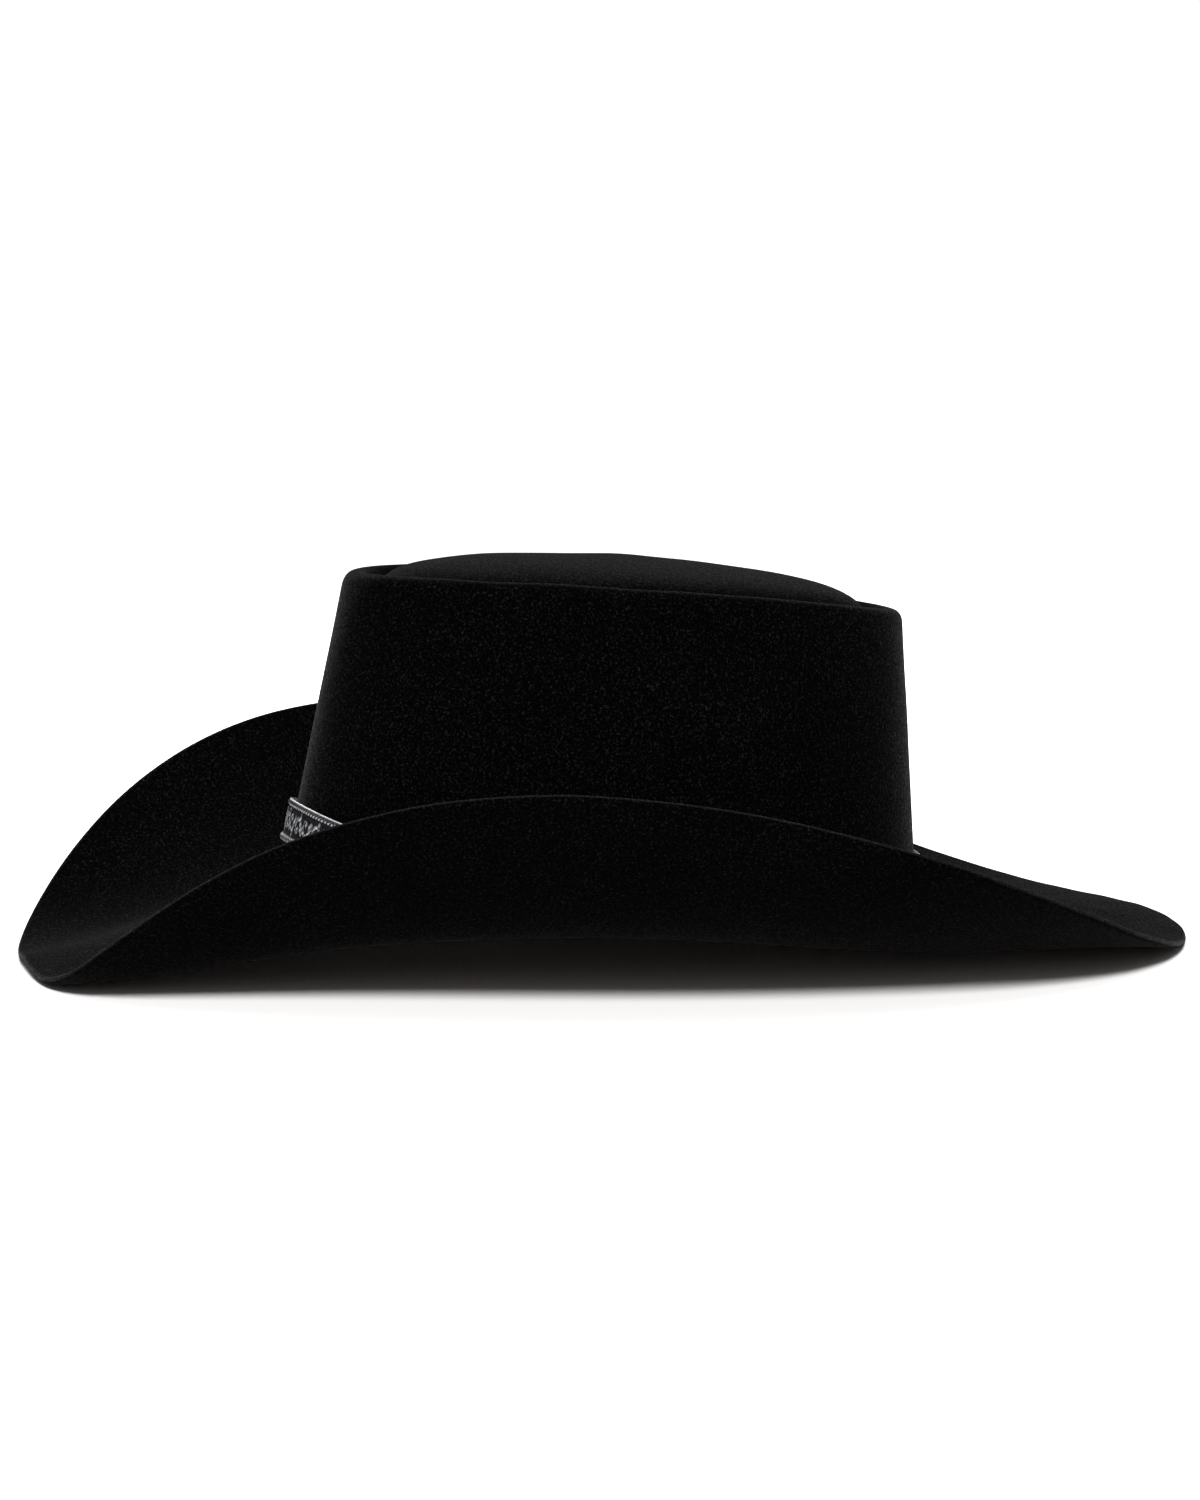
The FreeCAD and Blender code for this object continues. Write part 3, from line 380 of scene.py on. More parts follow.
FELT = felt_material("fur_felt", 0.0002, (0.0007, 0.0007, 0.0008), (0.009, 0.0088, 0.0090), 0.036)
# painted shade: a darker copy of the felt, with less sheen, for the brim's underside, which the floor's
# bounce lights
FELT_UNDER_SHADE = felt_material("felt_under_painted_shade", 0.0002, (0.0006, 0.0006, 0.0007), (0.007, 0.0068, 0.0070),
                           0.022)
# painted highlight: a lighter copy of the felt for the brim's cut edge, standing for light caught on its
# rounded corner
FELT_EDGE_HIGHLIGHT = felt_material("felt_edge_painted_highlight", 0.0025, (0.005, 0.0048, 0.0049), (0.012, 0.0115, 0.0115),
                          0.06)
SWEAT_LEATHER = leather_material("sweat_leather", (0.012, 0.009, 0.008), (0.028, 0.020, 0.016), 0.42,
                                 1300)
BAND_LEATHER = tooled_material("band_leather")
BAND_LINING = leather_material("band_lining", (0.010, 0.009, 0.009), (0.026, 0.023, 0.022), 0.6, 1800)
# painted highlight: the black strap's top edge is coloured pale grey, standing for light reflected off
# its glossy edge
BAND_EDGE_HIGHLIGHT = leather_material("band_edge_painted_highlight", (0.26, 0.25, 0.25), (0.44, 0.42, 0.42), 0.34, 1800)
SATIN = woven_material("liner_satin", (0.012, 0.012, 0.014), (0.030, 0.030, 0.034), 0.0004, 0.35, 0.3)
CORD = woven_material("piping_cord", (0.012, 0.012, 0.014), (0.03, 0.03, 0.034), 0.0006, 0.45, 0.3, 0.7)
TAPE = woven_material("casing_tape", (0.008, 0.008, 0.009), (0.022, 0.022, 0.024), 0.0007, 0.85, 0.2, 0.4)
RIBBON = woven_material("bow_ribbon", (0.010, 0.010, 0.012), (0.028, 0.028, 0.032), 0.0008, 0.5, 0.35)
THREAD = woven_material("black_thread", (0.006, 0.006, 0.007), (0.020, 0.020, 0.022), 0.0003,
                        0.55, 0.15, 0.6)
EDGE_THREAD = woven_material("edge_thread", (0.006, 0.006, 0.007), (0.020, 0.019, 0.021), 0.0003,
                             0.4, 0.05, 0.6)
NICKEL = metal_material("buckle_metal")
REED = plastic_material("reed_plastic")

# ---------------------------------------------------------------- camera, floor and light

CAMERA_PLACE = Vector((1.4575, -0.3505, 0.2216))
CAMERA_AIM = Vector((-0.0011, -0.0005, 0.0634))
CAMERA_LENS = 111.1
CAMERA_ROLL = math.radians(-0.82)
FLOOR_HALF = 12.0
WORLD_LIGHT, WORLD_SEEN = 0.3, 1.1
KEY_STRENGTH = 4.4
KEY_FROM = (1.0, -0.2, 1.0)


def make_camera():
    data = bpy.data.cameras.new("camera")
    data.lens = CAMERA_LENS
    data.sensor_width = 36.0
    data.clip_end = 50.0
    camera = add_to_scene("camera", data)
    forward = (CAMERA_AIM - CAMERA_PLACE).normalized()
    level = forward.cross(Vector((0, 0, 1))).normalized()
    upright = level.cross(forward)
    right = level * math.cos(CAMERA_ROLL) + upright * math.sin(CAMERA_ROLL)
    up = upright * math.cos(CAMERA_ROLL) - level * math.sin(CAMERA_ROLL)
    turn = Matrix((right, up, -forward)).transposed().to_4x4()
    camera.matrix_world = Matrix.Translation(CAMERA_PLACE) @ turn
    bpy.context.scene.camera = camera


def make_light(name, place, size, power, aim=(0, 0, 0.06), colour=(1, 1, 1)):
    data = bpy.data.lights.new(name, "AREA")
    data.shape = "RECTANGLE"
    data.size, data.size_y = size
    data.energy = power
    data.color = colour
    light = add_to_scene(name, data)
    light.location = place
    light.rotation_euler = (Vector(aim) - Vector(place)).to_track_quat("-Z", "Y").to_euler()


def make_studio():
    paint = NodeMaterial("studio_floor")
    drift = paint.ramp(paint.noise(3, 2), (0.3, (0.86, 0.85, 0.84)), (0.7, (0.88, 0.87, 0.86)))
    mesh = bpy.data.meshes.new("floor")
    corners = [(x * FLOOR_HALF, y * FLOOR_HALF, 0) for x, y in ((-1, -1), (1, -1), (1, 1), (-1, 1))]
    mesh.from_pydata(corners, [], [(0, 1, 2, 3)])
    mesh.materials.append(paint.finish({"Base Color": drift}, Roughness=0.9, Specular_IOR_Level=0.1))
    floor = add_to_scene("floor", mesh)
    world = bpy.data.worlds.new("studio")
    world.use_nodes = True
    nodes, links = world.node_tree.nodes, world.node_tree.links
    background = nodes["Background"]
    background.inputs["Color"].default_value = (1.0, 1.0, 1.0, 1.0)
    strength = nodes.new("ShaderNodeMapRange")
    strength.inputs["To Min"].default_value = WORLD_LIGHT
    strength.inputs["To Max"].default_value = WORLD_SEEN
    links.new(nodes.new("ShaderNodeLightPath").outputs["Is Camera Ray"], strength.inputs["Value"])
    links.new(strength.outputs["Result"], background.inputs["Strength"])
    bpy.context.scene.world = world
    key = bpy.data.lights.new("light_key", "SUN")
    key.energy = KEY_STRENGTH
    key.angle = math.radians(20)
    sun = add_to_scene("light_key", key)
    sun.rotation_euler = Vector(KEY_FROM).to_track_quat("Z", "Y").to_euler()
    make_light("light_top", (-0.2, 0.2, 1.6), (1.4, 1.8), 14)
    make_light("light_back", (-1.3, 0.1, 1.1), (0.7, 0.7), 30, (0, 0, 0.12))
    make_light("light_fill", (1.6, -0.4, 0.35), (0.4, 2.2), 4.5, (0, 0, 0.02), (1.0, 0.80, 0.74))
    bpy.context.scene.view_settings.view_transform = "Standard"


make_camera()
make_studio()

# ---------------------------------------------------------------- felt body

AROUND = 480
BRIM_SLOPE_START = (-17.1, -9.2, -3.2, 3.1)
BRIM_SLOPE_END = (22.9, 6.4, -37.0, -1.0, 4.5)
EDGE_ROUND = 0.8
# rows of faces with a material of their own: the cut edge, whose lighter felt is a painted highlight, and
# the brim's underside after it, whose darker felt is painted shade
EDGE_ROWS, UNDER_ROWS = 5, 66


def felt_patches(angle):
    """Control rows of the felt's outer face, in patches from the dome to the brim's edge."""
    _, _, up, _ = wall_axes(angle)
    wall_top = ridge_point(angle, RIDGE_ROUND, -RIDGE_ROUND)
    rim_corner = wall_top + up * (RIDGE_ROUND / up[..., 2:])
    base, edge = break_point(angle), edge_point(angle)
    chord = edge - base
    flat = unit(chord * np.array([1, 1, 0]))
    tall = np.array([0, 0, 1.0])
    start = np.radians(cosines(angle, BRIM_SLOPE_START))[..., None]
    end = np.radians(cosines(angle, BRIM_SLOPE_END))[..., None]
    leave = flat * np.cos(start) + tall * np.sin(start)
    arrive = flat * np.cos(end) + tall * np.sin(end)
    handle = np.linalg.norm(chord, axis=-1, keepdims=True) * BRIM_HANDLE
    dome_edge = dome_point(angle, 1.0, DOME_DROP)
    groove = ridge_point(angle, -GROOVE_OFFSET, -GROOVE_DEPTH)
    ridge = ridge_point(angle)
    brim_start = base + leave * BREAK_ROUND
    wall_foot = on_wall(angle, BREAK_ROUND, 0)
    return [
        ([dome_point(angle, 0.08, -1.9), dome_point(angle, 0.55, -0.3), dome_point(angle, 0.93, 1.9),
          dome_edge], 34),
        ([dome_edge, dome_point(angle, 1.02, DOME_DROP + 2.5),
          ridge_point(angle, -GROOVE_OFFSET - 1.2, -GROOVE_DEPTH), groove], 14),
        ([groove, ridge_point(angle, -GROOVE_OFFSET + 1.4, -GROOVE_DEPTH), ridge_point(angle, -3.0, 0),
          ridge], 14),
        ([ridge, rim_corner, wall_top], 14),
        ([wall_top, wall_foot], 44),
        ([wall_foot, base, brim_start], 8),
        ([brim_start, base + leave * handle, edge - arrive * handle, edge], 64),
    ]


def bezier(rows, steps):
    """Points of a Bezier curve through control rows, one row of points per step."""
    degree = len(rows) - 1
    weights = np.stack([math.comb(degree, k) * steps ** k * (1 - steps) ** (degree - k)
                        for k in range(degree + 1)], -1)
    return np.einsum("tk,kna->tna", weights, np.stack(rows))


def felt_grid(angle):
    """The felt's outer face, from the dome's middle out to the brim's edge."""
    parts = []
    patches = felt_patches(angle)
    for rows, count in patches:
        last = rows is patches[-1][0]
        parts.append(bezier(rows, np.linspace(0, 1, count + 1)[:None if last else -1]))
    return np.concatenate(parts)


def grid_normals(grid):
    """Normals of a grid that is closed along its columns, pointing out of the hat."""
    down = np.gradient(grid, axis=0)
    around = np.roll(grid, -1, axis=1) - np.roll(grid, 1, axis=1)
    return unit(np.cross(down, around))


def gentle_waves(points, longest, shortest, count, seed):
    """Smooth unevenness between -1 and 1 made of plane waves."""
    draw = np.random.default_rng(seed)
    total = np.zeros(points.shape[:-1])
    for _ in range(count):
        direction = unit(draw.normal(size=3))
        length = draw.uniform(shortest, longest)
        total += np.sin(points @ direction * FULL_TURN / length + draw.uniform(0, FULL_TURN))
    return total / count ** 0.5 / 1.6


felt_outer = felt_grid(turns(AROUND))
felt_normals = grid_normals(felt_outer)
felt_inner = felt_outer - felt_normals * FELT_THICKNESS

# the felt is gently uneven, but not where the hatband lies on it
BAND_FIRST_ROW, BAND_LAST_ROW, FADE_ROWS, UNEVENNESS = 96, 124, 10.0, 0.22
felt_row = np.arange(len(felt_outer))[:, None]
free = np.clip(np.maximum(felt_row - BAND_LAST_ROW, BAND_FIRST_ROW - felt_row) / FADE_ROWS, 0, 1)
uneven = gentle_waves(felt_outer, longest=60, shortest=22, count=24, seed=3) * UNEVENNESS * free
felt_outer = felt_outer + felt_normals * uneven[..., None]


def felt_edge_rows():
    """The rows round the brim's cut edge, from its upper face to its lower face."""
    outward = unit(felt_outer[-1] - felt_outer[-2])
    corner = felt_outer[-1] - outward * EDGE_ROUND
    rows = []
    for first, straight in ((0.0, 0.0), (math.pi / 2, FELT_THICKNESS - 2 * EDGE_ROUND)):
        for turn in first + np.linspace(0, math.pi / 2, 5):
            down = straight + EDGE_ROUND * (1 - math.cos(turn))
            rows.append(corner + outward * EDGE_ROUND * math.sin(turn) - felt_normals[-1] * down)
    return np.stack(rows)


def add_felt():
    grid = np.concatenate([felt_outer[:-1], felt_edge_rows(), felt_inner[-2::-1]])
    made = fan_grid("felt_body_felt", grid, FELT, slot="fur_felt")
    made.data.materials.append(FELT_EDGE_HIGHLIGHT)
    made.data.materials.append(FELT_UNDER_SHADE)
    # the cut edge's faces take the painted highlight felt, and the underside's faces take the painted
    # shade felt
    first = (len(felt_outer) - 1) * AROUND
    under = first + EDGE_ROWS * AROUND
    for index in range(first, under + UNDER_ROWS * AROUND):
        made.data.polygons[index].material_index = 1 if index < under else 2
    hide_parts("felt_body")


add_felt()

# ---------------------------------------------------------------- bands that follow the crown


def band_grid(angle, section):
    """Sections of a band: section is a list of (height, out) pairs or arrays along the band."""
    heights = np.stack([np.broadcast_to(h, angle.shape) for h, _ in section], -1)
    outs = np.stack([np.broadcast_to(o, angle.shape) for _, o in section], -1)
    return on_wall(angle[:, None], heights, outs)


def rounded_section(low, high, inner, outer, radius, faces):
    """A rounded rectangle as (height, out) pairs. Faces counts the points on its outer and inner face."""
    section = []
    centres = [(low + radius, outer - radius), (high - radius, outer - radius),
               (high - radius, inner + radius), (low + radius, inner + radius)]
    for k, (height, out_by) in enumerate(centres):
        for turn in np.linspace(-math.pi / 2, 0, 4) + k * math.pi / 2:
            section.append((height + radius * math.sin(turn), out_by + radius * math.cos(turn)))
        if k in (0, 2):
            after = centres[k + 1]
            side = outer if k == 0 else inner
            for share in np.linspace(0, 1, faces[k // 2] + 2)[1:-1]:
                section.append((height + (after[0] - height) * share, side))
    return section


# heights up the wall and distances out from the felt's outer face, for what lies inside the crown
SWEAT_WIDTH, SWEAT_FACE, SWEAT_BACK, SWEAT_CREASE, SWEAT_GAP = 56.0, -4.3, -3.3, 52.5, 0.8
REED_HEIGHT, REED_OUT, CASING_RADIUS, CASING_BORE = -2.1, -4.9, 1.62, 1.38
SEAM_LOW, SEAM_HIGH, SEAM_FACE, SEAM_BACK, SEAM_HALF_WIDTH = 5.5, 54.0, -5.3, -4.6, 5.9


def add_sweatband():
    half_gap = SWEAT_GAP / 2 / BREAK_HALF_WIDTH
    angle = np.linspace(-math.pi + half_gap, math.pi - half_gap, 420)
    shaped = []
    for height, out_by in rounded_section(0, SWEAT_WIDTH, SWEAT_FACE, SWEAT_BACK, 0.42, (20, 56)):
        if out_by < SWEAT_FACE + 0.05:
            crease = 0.18 * bump(height - SWEAT_CREASE, 0.45)
            ease = math.sin(math.pi * height / SWEAT_WIDTH) * 0.10
            wrinkle = ease * np.sin(angle * 37 + height * 0.11) * np.sin(angle * 11 + 1.3)
            out_by = out_by + crease + wrinkle
        shaped.append((height, out_by))
    made = tube_grid("sweatband_leather", band_grid(angle, shaped), SWEAT_LEATHER, False,
                     slot="sweat_leather")
    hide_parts("sweatband")


def add_tape():
    """The woven casing round the reed, ribbed by its weave."""
    angle = turns(720)
    section = []
    for turn in turns(18):
        radius = CASING_RADIUS + 0.05 * np.sin(angle * 360 + turn * 2)
        section.append((REED_HEIGHT + radius * np.sin(turn), REED_OUT + radius * np.cos(turn)))
    outside = band_grid(angle, section)
    bore = band_grid(angle[::4], [(REED_HEIGHT + CASING_BORE * math.sin(turn),
                                   REED_OUT + CASING_BORE * math.cos(turn)) for turn in turns(12)])
    points = np.concatenate([outside.reshape(-1, 3), bore.reshape(-1, 3)])
    faces = grid_faces(*outside.shape[:2], True)
    faces += [f[::-1] for f in grid_faces(*bore.shape[:2], True, outside.shape[0] * outside.shape[1])]
    made = make_object("reed_tape_weave", points, faces, TAPE, slot="casing_tape")
    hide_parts("reed_tape")


THREAD_SIDES, THREAD_TAPER = 8, 0.14


def threads(name, lines, radius, material, slot):
    """Threads along lines of points, with rounded ends, as one mesh of closed tubes."""
    points, faces, turn = [], [], turns(THREAD_SIDES)
    for line in lines:
        along = unit(np.gradient(line, axis=0))
        helper = unit(np.cross(along[0], [0.31, 0.17, 0.93]))
        normals = []
        for direction in along:
            helper = unit(helper - direction * (helper @ direction))
            normals.append(helper)
        normals = np.stack(normals)
        sideways = np.cross(along, normals)
        share = np.linspace(0, 1, len(line))
        taper = np.clip(np.minimum(share, 1 - share) / THREAD_TAPER, 0, 1)
        radii = radius * (0.5 + 0.5 * np.sqrt(1 - (1 - taper) ** 2))
        loops = (line[:, None] + normals[:, None] * (np.cos(turn) * radii[:, None])[..., None]
                 + sideways[:, None] * (np.sin(turn) * radii[:, None])[..., None])
        size = (len(line), THREAD_SIDES, sum(len(p) for p in points))
        points.append(loops.reshape(-1, 3))
        faces += grid_faces(*size[:2], False, size[2]) + end_faces(*size)
    made = make_object(name, np.concatenate(points), faces, material, slot=slot)
    fix_normals(made)
    return made


def stitch_arcs(starts, length, height, lean, surface, rise):
    """Stitches along the band: each leans across its height and arcs out of the surface."""
    share = np.linspace(0, 1, 9)
    lines = []
    for start in starts:
        angle = start + share * length / BREAK_HALF_LENGTH
        heights = height + lean * (share - 0.5)
        outs = surface + rise * np.sin(math.pi * share)
        lines.append(on_wall(angle, heights, outs))
    return lines


def add_sweatband_thread():
    lines = stitch_arcs(turns(132) + 0.02, 3.3, 4.0, 0.0, SWEAT_FACE - 0.05, -0.42)
    made = threads("sweatband_thread_stitches", lines, 0.27, THREAD, slot="black_thread")
    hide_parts("sweatband_thread")


def add_seam():
    half = SEAM_HALF_WIDTH / BREAK_HALF_WIDTH
    section = rounded_section(SEAM_LOW, SEAM_HIGH, SEAM_FACE, SEAM_BACK, 0.3, (20, 20))
    grid = band_grid(np.linspace(math.pi - half, math.pi + half, 25), section)
    made = tube_grid("seam_backing_leather", grid, SWEAT_LEATHER, False, slot="sweat_leather")
    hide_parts("seam_backing")
    count, lowest, step, reach = 14, 16.5, 2.5, 3.6
    share = np.linspace(0, 1, 11)
    lines = []
    for k in range(count):
        across = reach * (-1) ** k * (2 * share - 1) / BREAK_HALF_WIDTH
        lines.append(on_wall(math.pi + across, lowest + step * (k + share),
                             SEAM_FACE - 0.05 - 0.4 * np.sin(math.pi * share)))
    made = threads("seam_stitches_zigzag", lines, 0.28, THREAD, slot="black_thread")
    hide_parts("seam_stitches")


def frame_at(angle, height, out_by):
    """Axes on the crown: X along the band, Y up the wall and Z out of it, as a function."""
    _, along, _, out = wall_axes(np.array(angle))
    up = np.cross(out, along)
    base = on_wall(np.array(angle), height, out_by)

    def place(points):
        points = np.asarray(points, float)
        return base + points[..., :1] * along + points[..., 1:2] * up + points[..., 2:] * out

    return place


def add_bow():
    """A flat ribbon bow inside the back of the crown: two loops, two ends and the wrap."""
    place = frame_at(math.pi, 9.0, -6.8)
    half_length, knot_half = 15.0, 2.4
    rows = []
    for share in np.linspace(-1, 1, 61):
        reach = half_length * share
        half = 1.9 + 2.55 * min(1.0, (abs(share) / 0.8)) ** 1.3
        notch = 1.4 if abs(share) > 0.985 else 0.0
        puff = 0.34 * math.sin(math.pi * min(1, abs(share) * 1.05)) ** 0.7 if abs(share) < 0.95 else 0.05
        loop = []
        for turn in turns(40):
            across, thick = math.sin(turn), math.cos(turn)
            fold = 0.10 * math.sin(across * 9 + share * 3) * (1 - abs(share))
            edge = 1 - abs(across) ** 6
            loop.append((reach - notch * (1 - abs(across)) * math.copysign(1, share), half * across,
                         (0.12 + puff * edge) * thick + fold))
        rows.append(place(loop))
    made = tube_grid("bow_ribbon_loops", rows, RIBBON, False, slot="bow_ribbon")
    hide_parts("bow_ribbon")
    rows, turn_knot = [], turns(36)
    for share in np.linspace(-1, 1, 17):
        loop = []
        bulge = 1.0 + 0.06 * math.cos(share * 2.4)
        ribs = 0.03 * math.cos(share * 26)
        for turn in turn_knot:
            up = squared(math.sin(turn), 0.6) * (2.75 * bulge + ribs)
            out = squared(math.cos(turn), 0.6) * (0.92 * bulge + ribs)
            loop.append((knot_half * share, up, out))
        rows.append(place(loop))
    for share in np.linspace(1, -1, 17):
        rows.append(place(stack(knot_half * share, 2.5 * np.sin(turn_knot), 0.72 * np.cos(turn_knot))))
    made = tube_grid("bow_knot_wrap", rows, RIBBON, True, slot="bow_ribbon")
    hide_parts("bow_knot")


# ---------------------------------------------------------------- liner

LINER_SLOPE = RIDGE_HEIGHT[1] / RIDGE_HALF_LENGTH
LINER_TIP_HEIGHT = RIDGE_HEIGHT[0] - 15.0
LINER_FOOT, LINER_OUT, LINER_THICKNESS, LINER_SAG = 44.0, -2.76, 0.22, 2.2
PIPING, PIPING_OUT = 1.8, -3.0


def height_at_tip(angle, drop=0.0):
    """How far up the wall the liner's tilted tip lies."""
    base, _, up, _ = wall_axes(angle)
    plane = LINER_TIP_HEIGHT - drop - LINER_SLOPE * base[..., 1]
    return (plane - base[..., 2]) / (up[..., 2] + LINER_SLOPE * up[..., 1])


def add_liner():
    angle = turns(480)
    top = height_at_tip(angle, PIPING + 0.25)
    rows = []
    for share in np.linspace(0, 1, 26):
        ease = 0.08 * math.sin(math.pi * share) * np.sin(angle * 46 + 2 * np.sin(angle * 5))
        rows.append((LINER_FOOT + (top - LINER_FOOT) * share, LINER_OUT + ease))
    inside = [(height, out_by - LINER_THICKNESS) for height, out_by in rows[::-1]]
    made = tube_grid("liner_side_satin", band_grid(angle, rows + inside), SATIN, True, slot="liner_satin")
    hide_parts("liner_side")

    # the tip sags a little inside its corded edge
    rim = on_wall(angle, height_at_tip(angle), PIPING_OUT - PIPING - 0.3)
    middle = rim.mean(0)
    normal = unit(np.array([0, LINER_SLOPE, 1.0]))
    shares = np.linspace(1, 0.02, 40)
    rows = []
    for share, lift in [(share, 0.0) for share in shares[::-1]] + [(share, -0.25) for share in shares]:
        points = middle + (rim - middle) * share
        points[:, 2] = LINER_TIP_HEIGHT - LINER_SLOPE * points[:, 1]
        sag = -LINER_SAG * (1 - share ** 2) ** 1.2
        pull = 0.35 * share ** 3 * (1 - share) * 4 * np.sin(angle * 31 + 1.7 * np.sin(angle * 7))
        rows.append(points + normal * (sag + pull + lift)[..., None])
    made = fan_grid("liner_tip_satin", rows, SATIN, slot="liner_satin")
    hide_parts("liner_tip")

    # corded piping: two strands twisted under satin
    angle = turns(1400)
    section = []
    for turn in turns(14):
        radius = PIPING / 2 - 0.09 + 0.07 * np.cos(2 * turn + angle * 190)
        section.append((height_at_tip(angle, PIPING / 2) + radius * np.sin(turn),
                        PIPING_OUT - PIPING / 2 + radius * np.cos(turn)))
    made = tube_grid("liner_piping_cord", band_grid(angle, section), CORD, True, slot="piping_cord")
    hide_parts("liner_piping")


add_sweatband()
add_tape()
add_sweatband_thread()
add_seam()
add_bow()
add_liner()

# ---------------------------------------------------------------- hatband

SIDE = math.radians(90)
STRAP_LOW, STRAP_HIGH, STRAP_THICK, STRAP_OUT = 2.0, 15.4, 1.2, 1.9
BAR_RADIUS, BAR_OUT = 0.9, 2.7
TAIL_OUT, TIP_START, TIP_LENGTH, TIP_OVERLAP = 3.95, 36.0, 15.0, 7.0
WHOLE = FULL_TURN * BREAK_HALF_LENGTH
MIDDLE = (STRAP_LOW + STRAP_HIGH) / 2


def angle_of(distance):
    """The angle at a distance behind the buckle's bar along the hatband."""
    return SIDE + distance / BREAK_HALF_LENGTH


# the frame at the middle of the buckle's bar
at_bar = frame_at(angle_of(0), MIDDLE, BAR_OUT)


def strap_route():
    """The middle of the strap's thickness as (distance behind the bar, distance out)."""
    fold = BAR_RADIUS + 0.25 + STRAP_THICK / 2
    lap = TIP_START + TIP_OVERLAP
    route = [(lap, TAIL_OUT), (lap * 0.75, TAIL_OUT), (lap * 0.5, TAIL_OUT), (14.0, TAIL_OUT + 0.25),
             (9.0, TAIL_OUT + 0.85), (4.5, TAIL_OUT + 1.7), (0.0, BAR_OUT + fold + STRAP_THICK + 0.35),
             (-3.2, TAIL_OUT + 1.15), (-5.8, 2.85), (-8.4, 1.5), (-11.0, 1.12), (-14.5, 1.3),
             (-19.0, STRAP_OUT)]
    start, end, steps = -28.0, -WHOLE + 22.0, 42
    route += [(start + (end - start) * i / steps, STRAP_OUT) for i in range(steps + 1)]
    route += [(17.0 - WHOLE, STRAP_OUT + 0.02), (12.5 - WHOLE, STRAP_OUT + 0.5),
              (7.0 - WHOLE, BAR_OUT + fold - 1.05), (3.0 - WHOLE, BAR_OUT + fold - 0.2)]
    for i in range(11):
        turn = math.radians(90 + 18 * i)
        route.append((fold * math.cos(turn) - WHOLE, BAR_OUT + fold * math.sin(turn)))
    return np.array(route + [(back - WHOLE, BAR_OUT - fold) for back in (3.5, 7.0, 10.0)])


def lengths(points):
    """The distance along a line of points, at each of them."""
    return np.concatenate([[0], np.cumsum(np.linalg.norm(np.diff(points, axis=0), axis=1))])


def smooth_line(points, spacing):
    """Points along a smooth curve through the given ones, at about the given spacing."""
    steps = lengths(points)
    slope = np.gradient(points, steps, axis=0)
    places = np.linspace(0, steps[-1], int(steps[-1] / spacing) + 1)
    index = np.clip(np.searchsorted(steps, places, side="right") - 1, 0, len(points) - 2)
    span = (steps[index + 1] - steps[index])[:, None]
    t = (places - steps[index])[:, None] / span
    a, b = points[index], points[index + 1]
    return ((2 * t ** 3 - 3 * t ** 2 + 1) * a + (t ** 3 - 2 * t ** 2 + t) * span * slope[index]
            + (-2 * t ** 3 + 3 * t ** 2) * b + (t ** 3 - t ** 2) * span * slope[index + 1])


# the carving: how close its repeats come, the dots of its ground, and the cuts along its borders
REPEAT, CROWDING, STIPPLE, BORDER_FROM, BORDER_CUTS = 19.0, 1.2, 0.45, 4.4, 2.9


def tooling(along, height):
    """Height of the carved pattern, from about -1 to 1, over the strap's face."""
    crowded = along * CROWDING
    phase = crowded / REPEAT * FULL_TURN
    stem = MIDDLE + 2.3 * np.sin(phase)
    relief = 0.95 * bump(height - stem, 0.42)
    for half, sign in ((0.25, -1), (0.75, 1)):
        centre_along = (np.floor(crowded / REPEAT - half + 0.5) + half) * REPEAT
        x = crowded - centre_along
        y = height - (MIDDLE + sign * 1.1)
        radius = np.hypot(x * 0.8, y)
        turn = np.arctan2(y * sign, x)
        spiral = 3.7 - 0.52 * (turn + math.pi)
        relief = np.maximum(relief, bump(radius - spiral, 0.34) * (radius < 4.6))
        relief = np.maximum(relief, bump(radius, 0.75))
        for k in range(3):
            lean = 0.55 + 0.5 * k
            leaf_x, leaf_y = x - 5.2 - 0.9 * k, y * sign + 2.6 - 1.9 * k
            u = leaf_x * math.cos(lean) + leaf_y * math.sin(lean)
            v = -leaf_x * math.sin(lean) + leaf_y * math.cos(lean)
            inside = 1 - (u / 2.3) ** 2 - (v / 0.95) ** 2
            leaf = np.clip(inside * 2.2, 0, 0.85) - 0.5 * bump(v, 0.16) * (inside > 0)
            relief = np.maximum(relief, leaf)
    relief = relief * (0.7 + 0.3 * np.sin(along * 1.7 + height * 3.0))
    border = np.clip((np.abs(height - MIDDLE) - BORDER_FROM) / 0.4, 0, 1)
    cuts = 0.5 + 0.5 * np.sin(along * BORDER_CUTS + (height - MIDDLE) * 2.0)
    relief = np.maximum(relief * (1 - border), border * cuts)
    ground = STIPPLE * np.sin(along * 5.1 + np.sin(height * 3.7) * 1.9) * np.sin(height * 5.7)
    return relief - 0.45 + ground * (relief < 0.3)


STRAP_RELIEF, LACING_PITCH = 0.34, 2.2
strap_places = smooth_line(strap_route(), 0.42)
strap_slope = unit(np.gradient(strap_places, axis=0))
strap_side = np.stack([strap_slope[:, 1], -strap_slope[:, 0]], -1)
strap_length = lengths(strap_places)


def flare(height):
    """How far the strap's lower edge stands out where the crown turns into the brim."""
    return 0.9 * np.clip((6.5 - height) / 4.5, 0, 1) ** 2


def free_share(distance):
    """1 where the strap lies alone on the crown, 0 where its two ends lie over each other."""
    after_buckle = np.clip((-19.0 - distance) / 3.0, 0, 1)
    before_tip = np.clip((distance + WHOLE - TIP_START - TIP_LENGTH) / 6.0, 0, 1)
    return after_buckle * before_tip


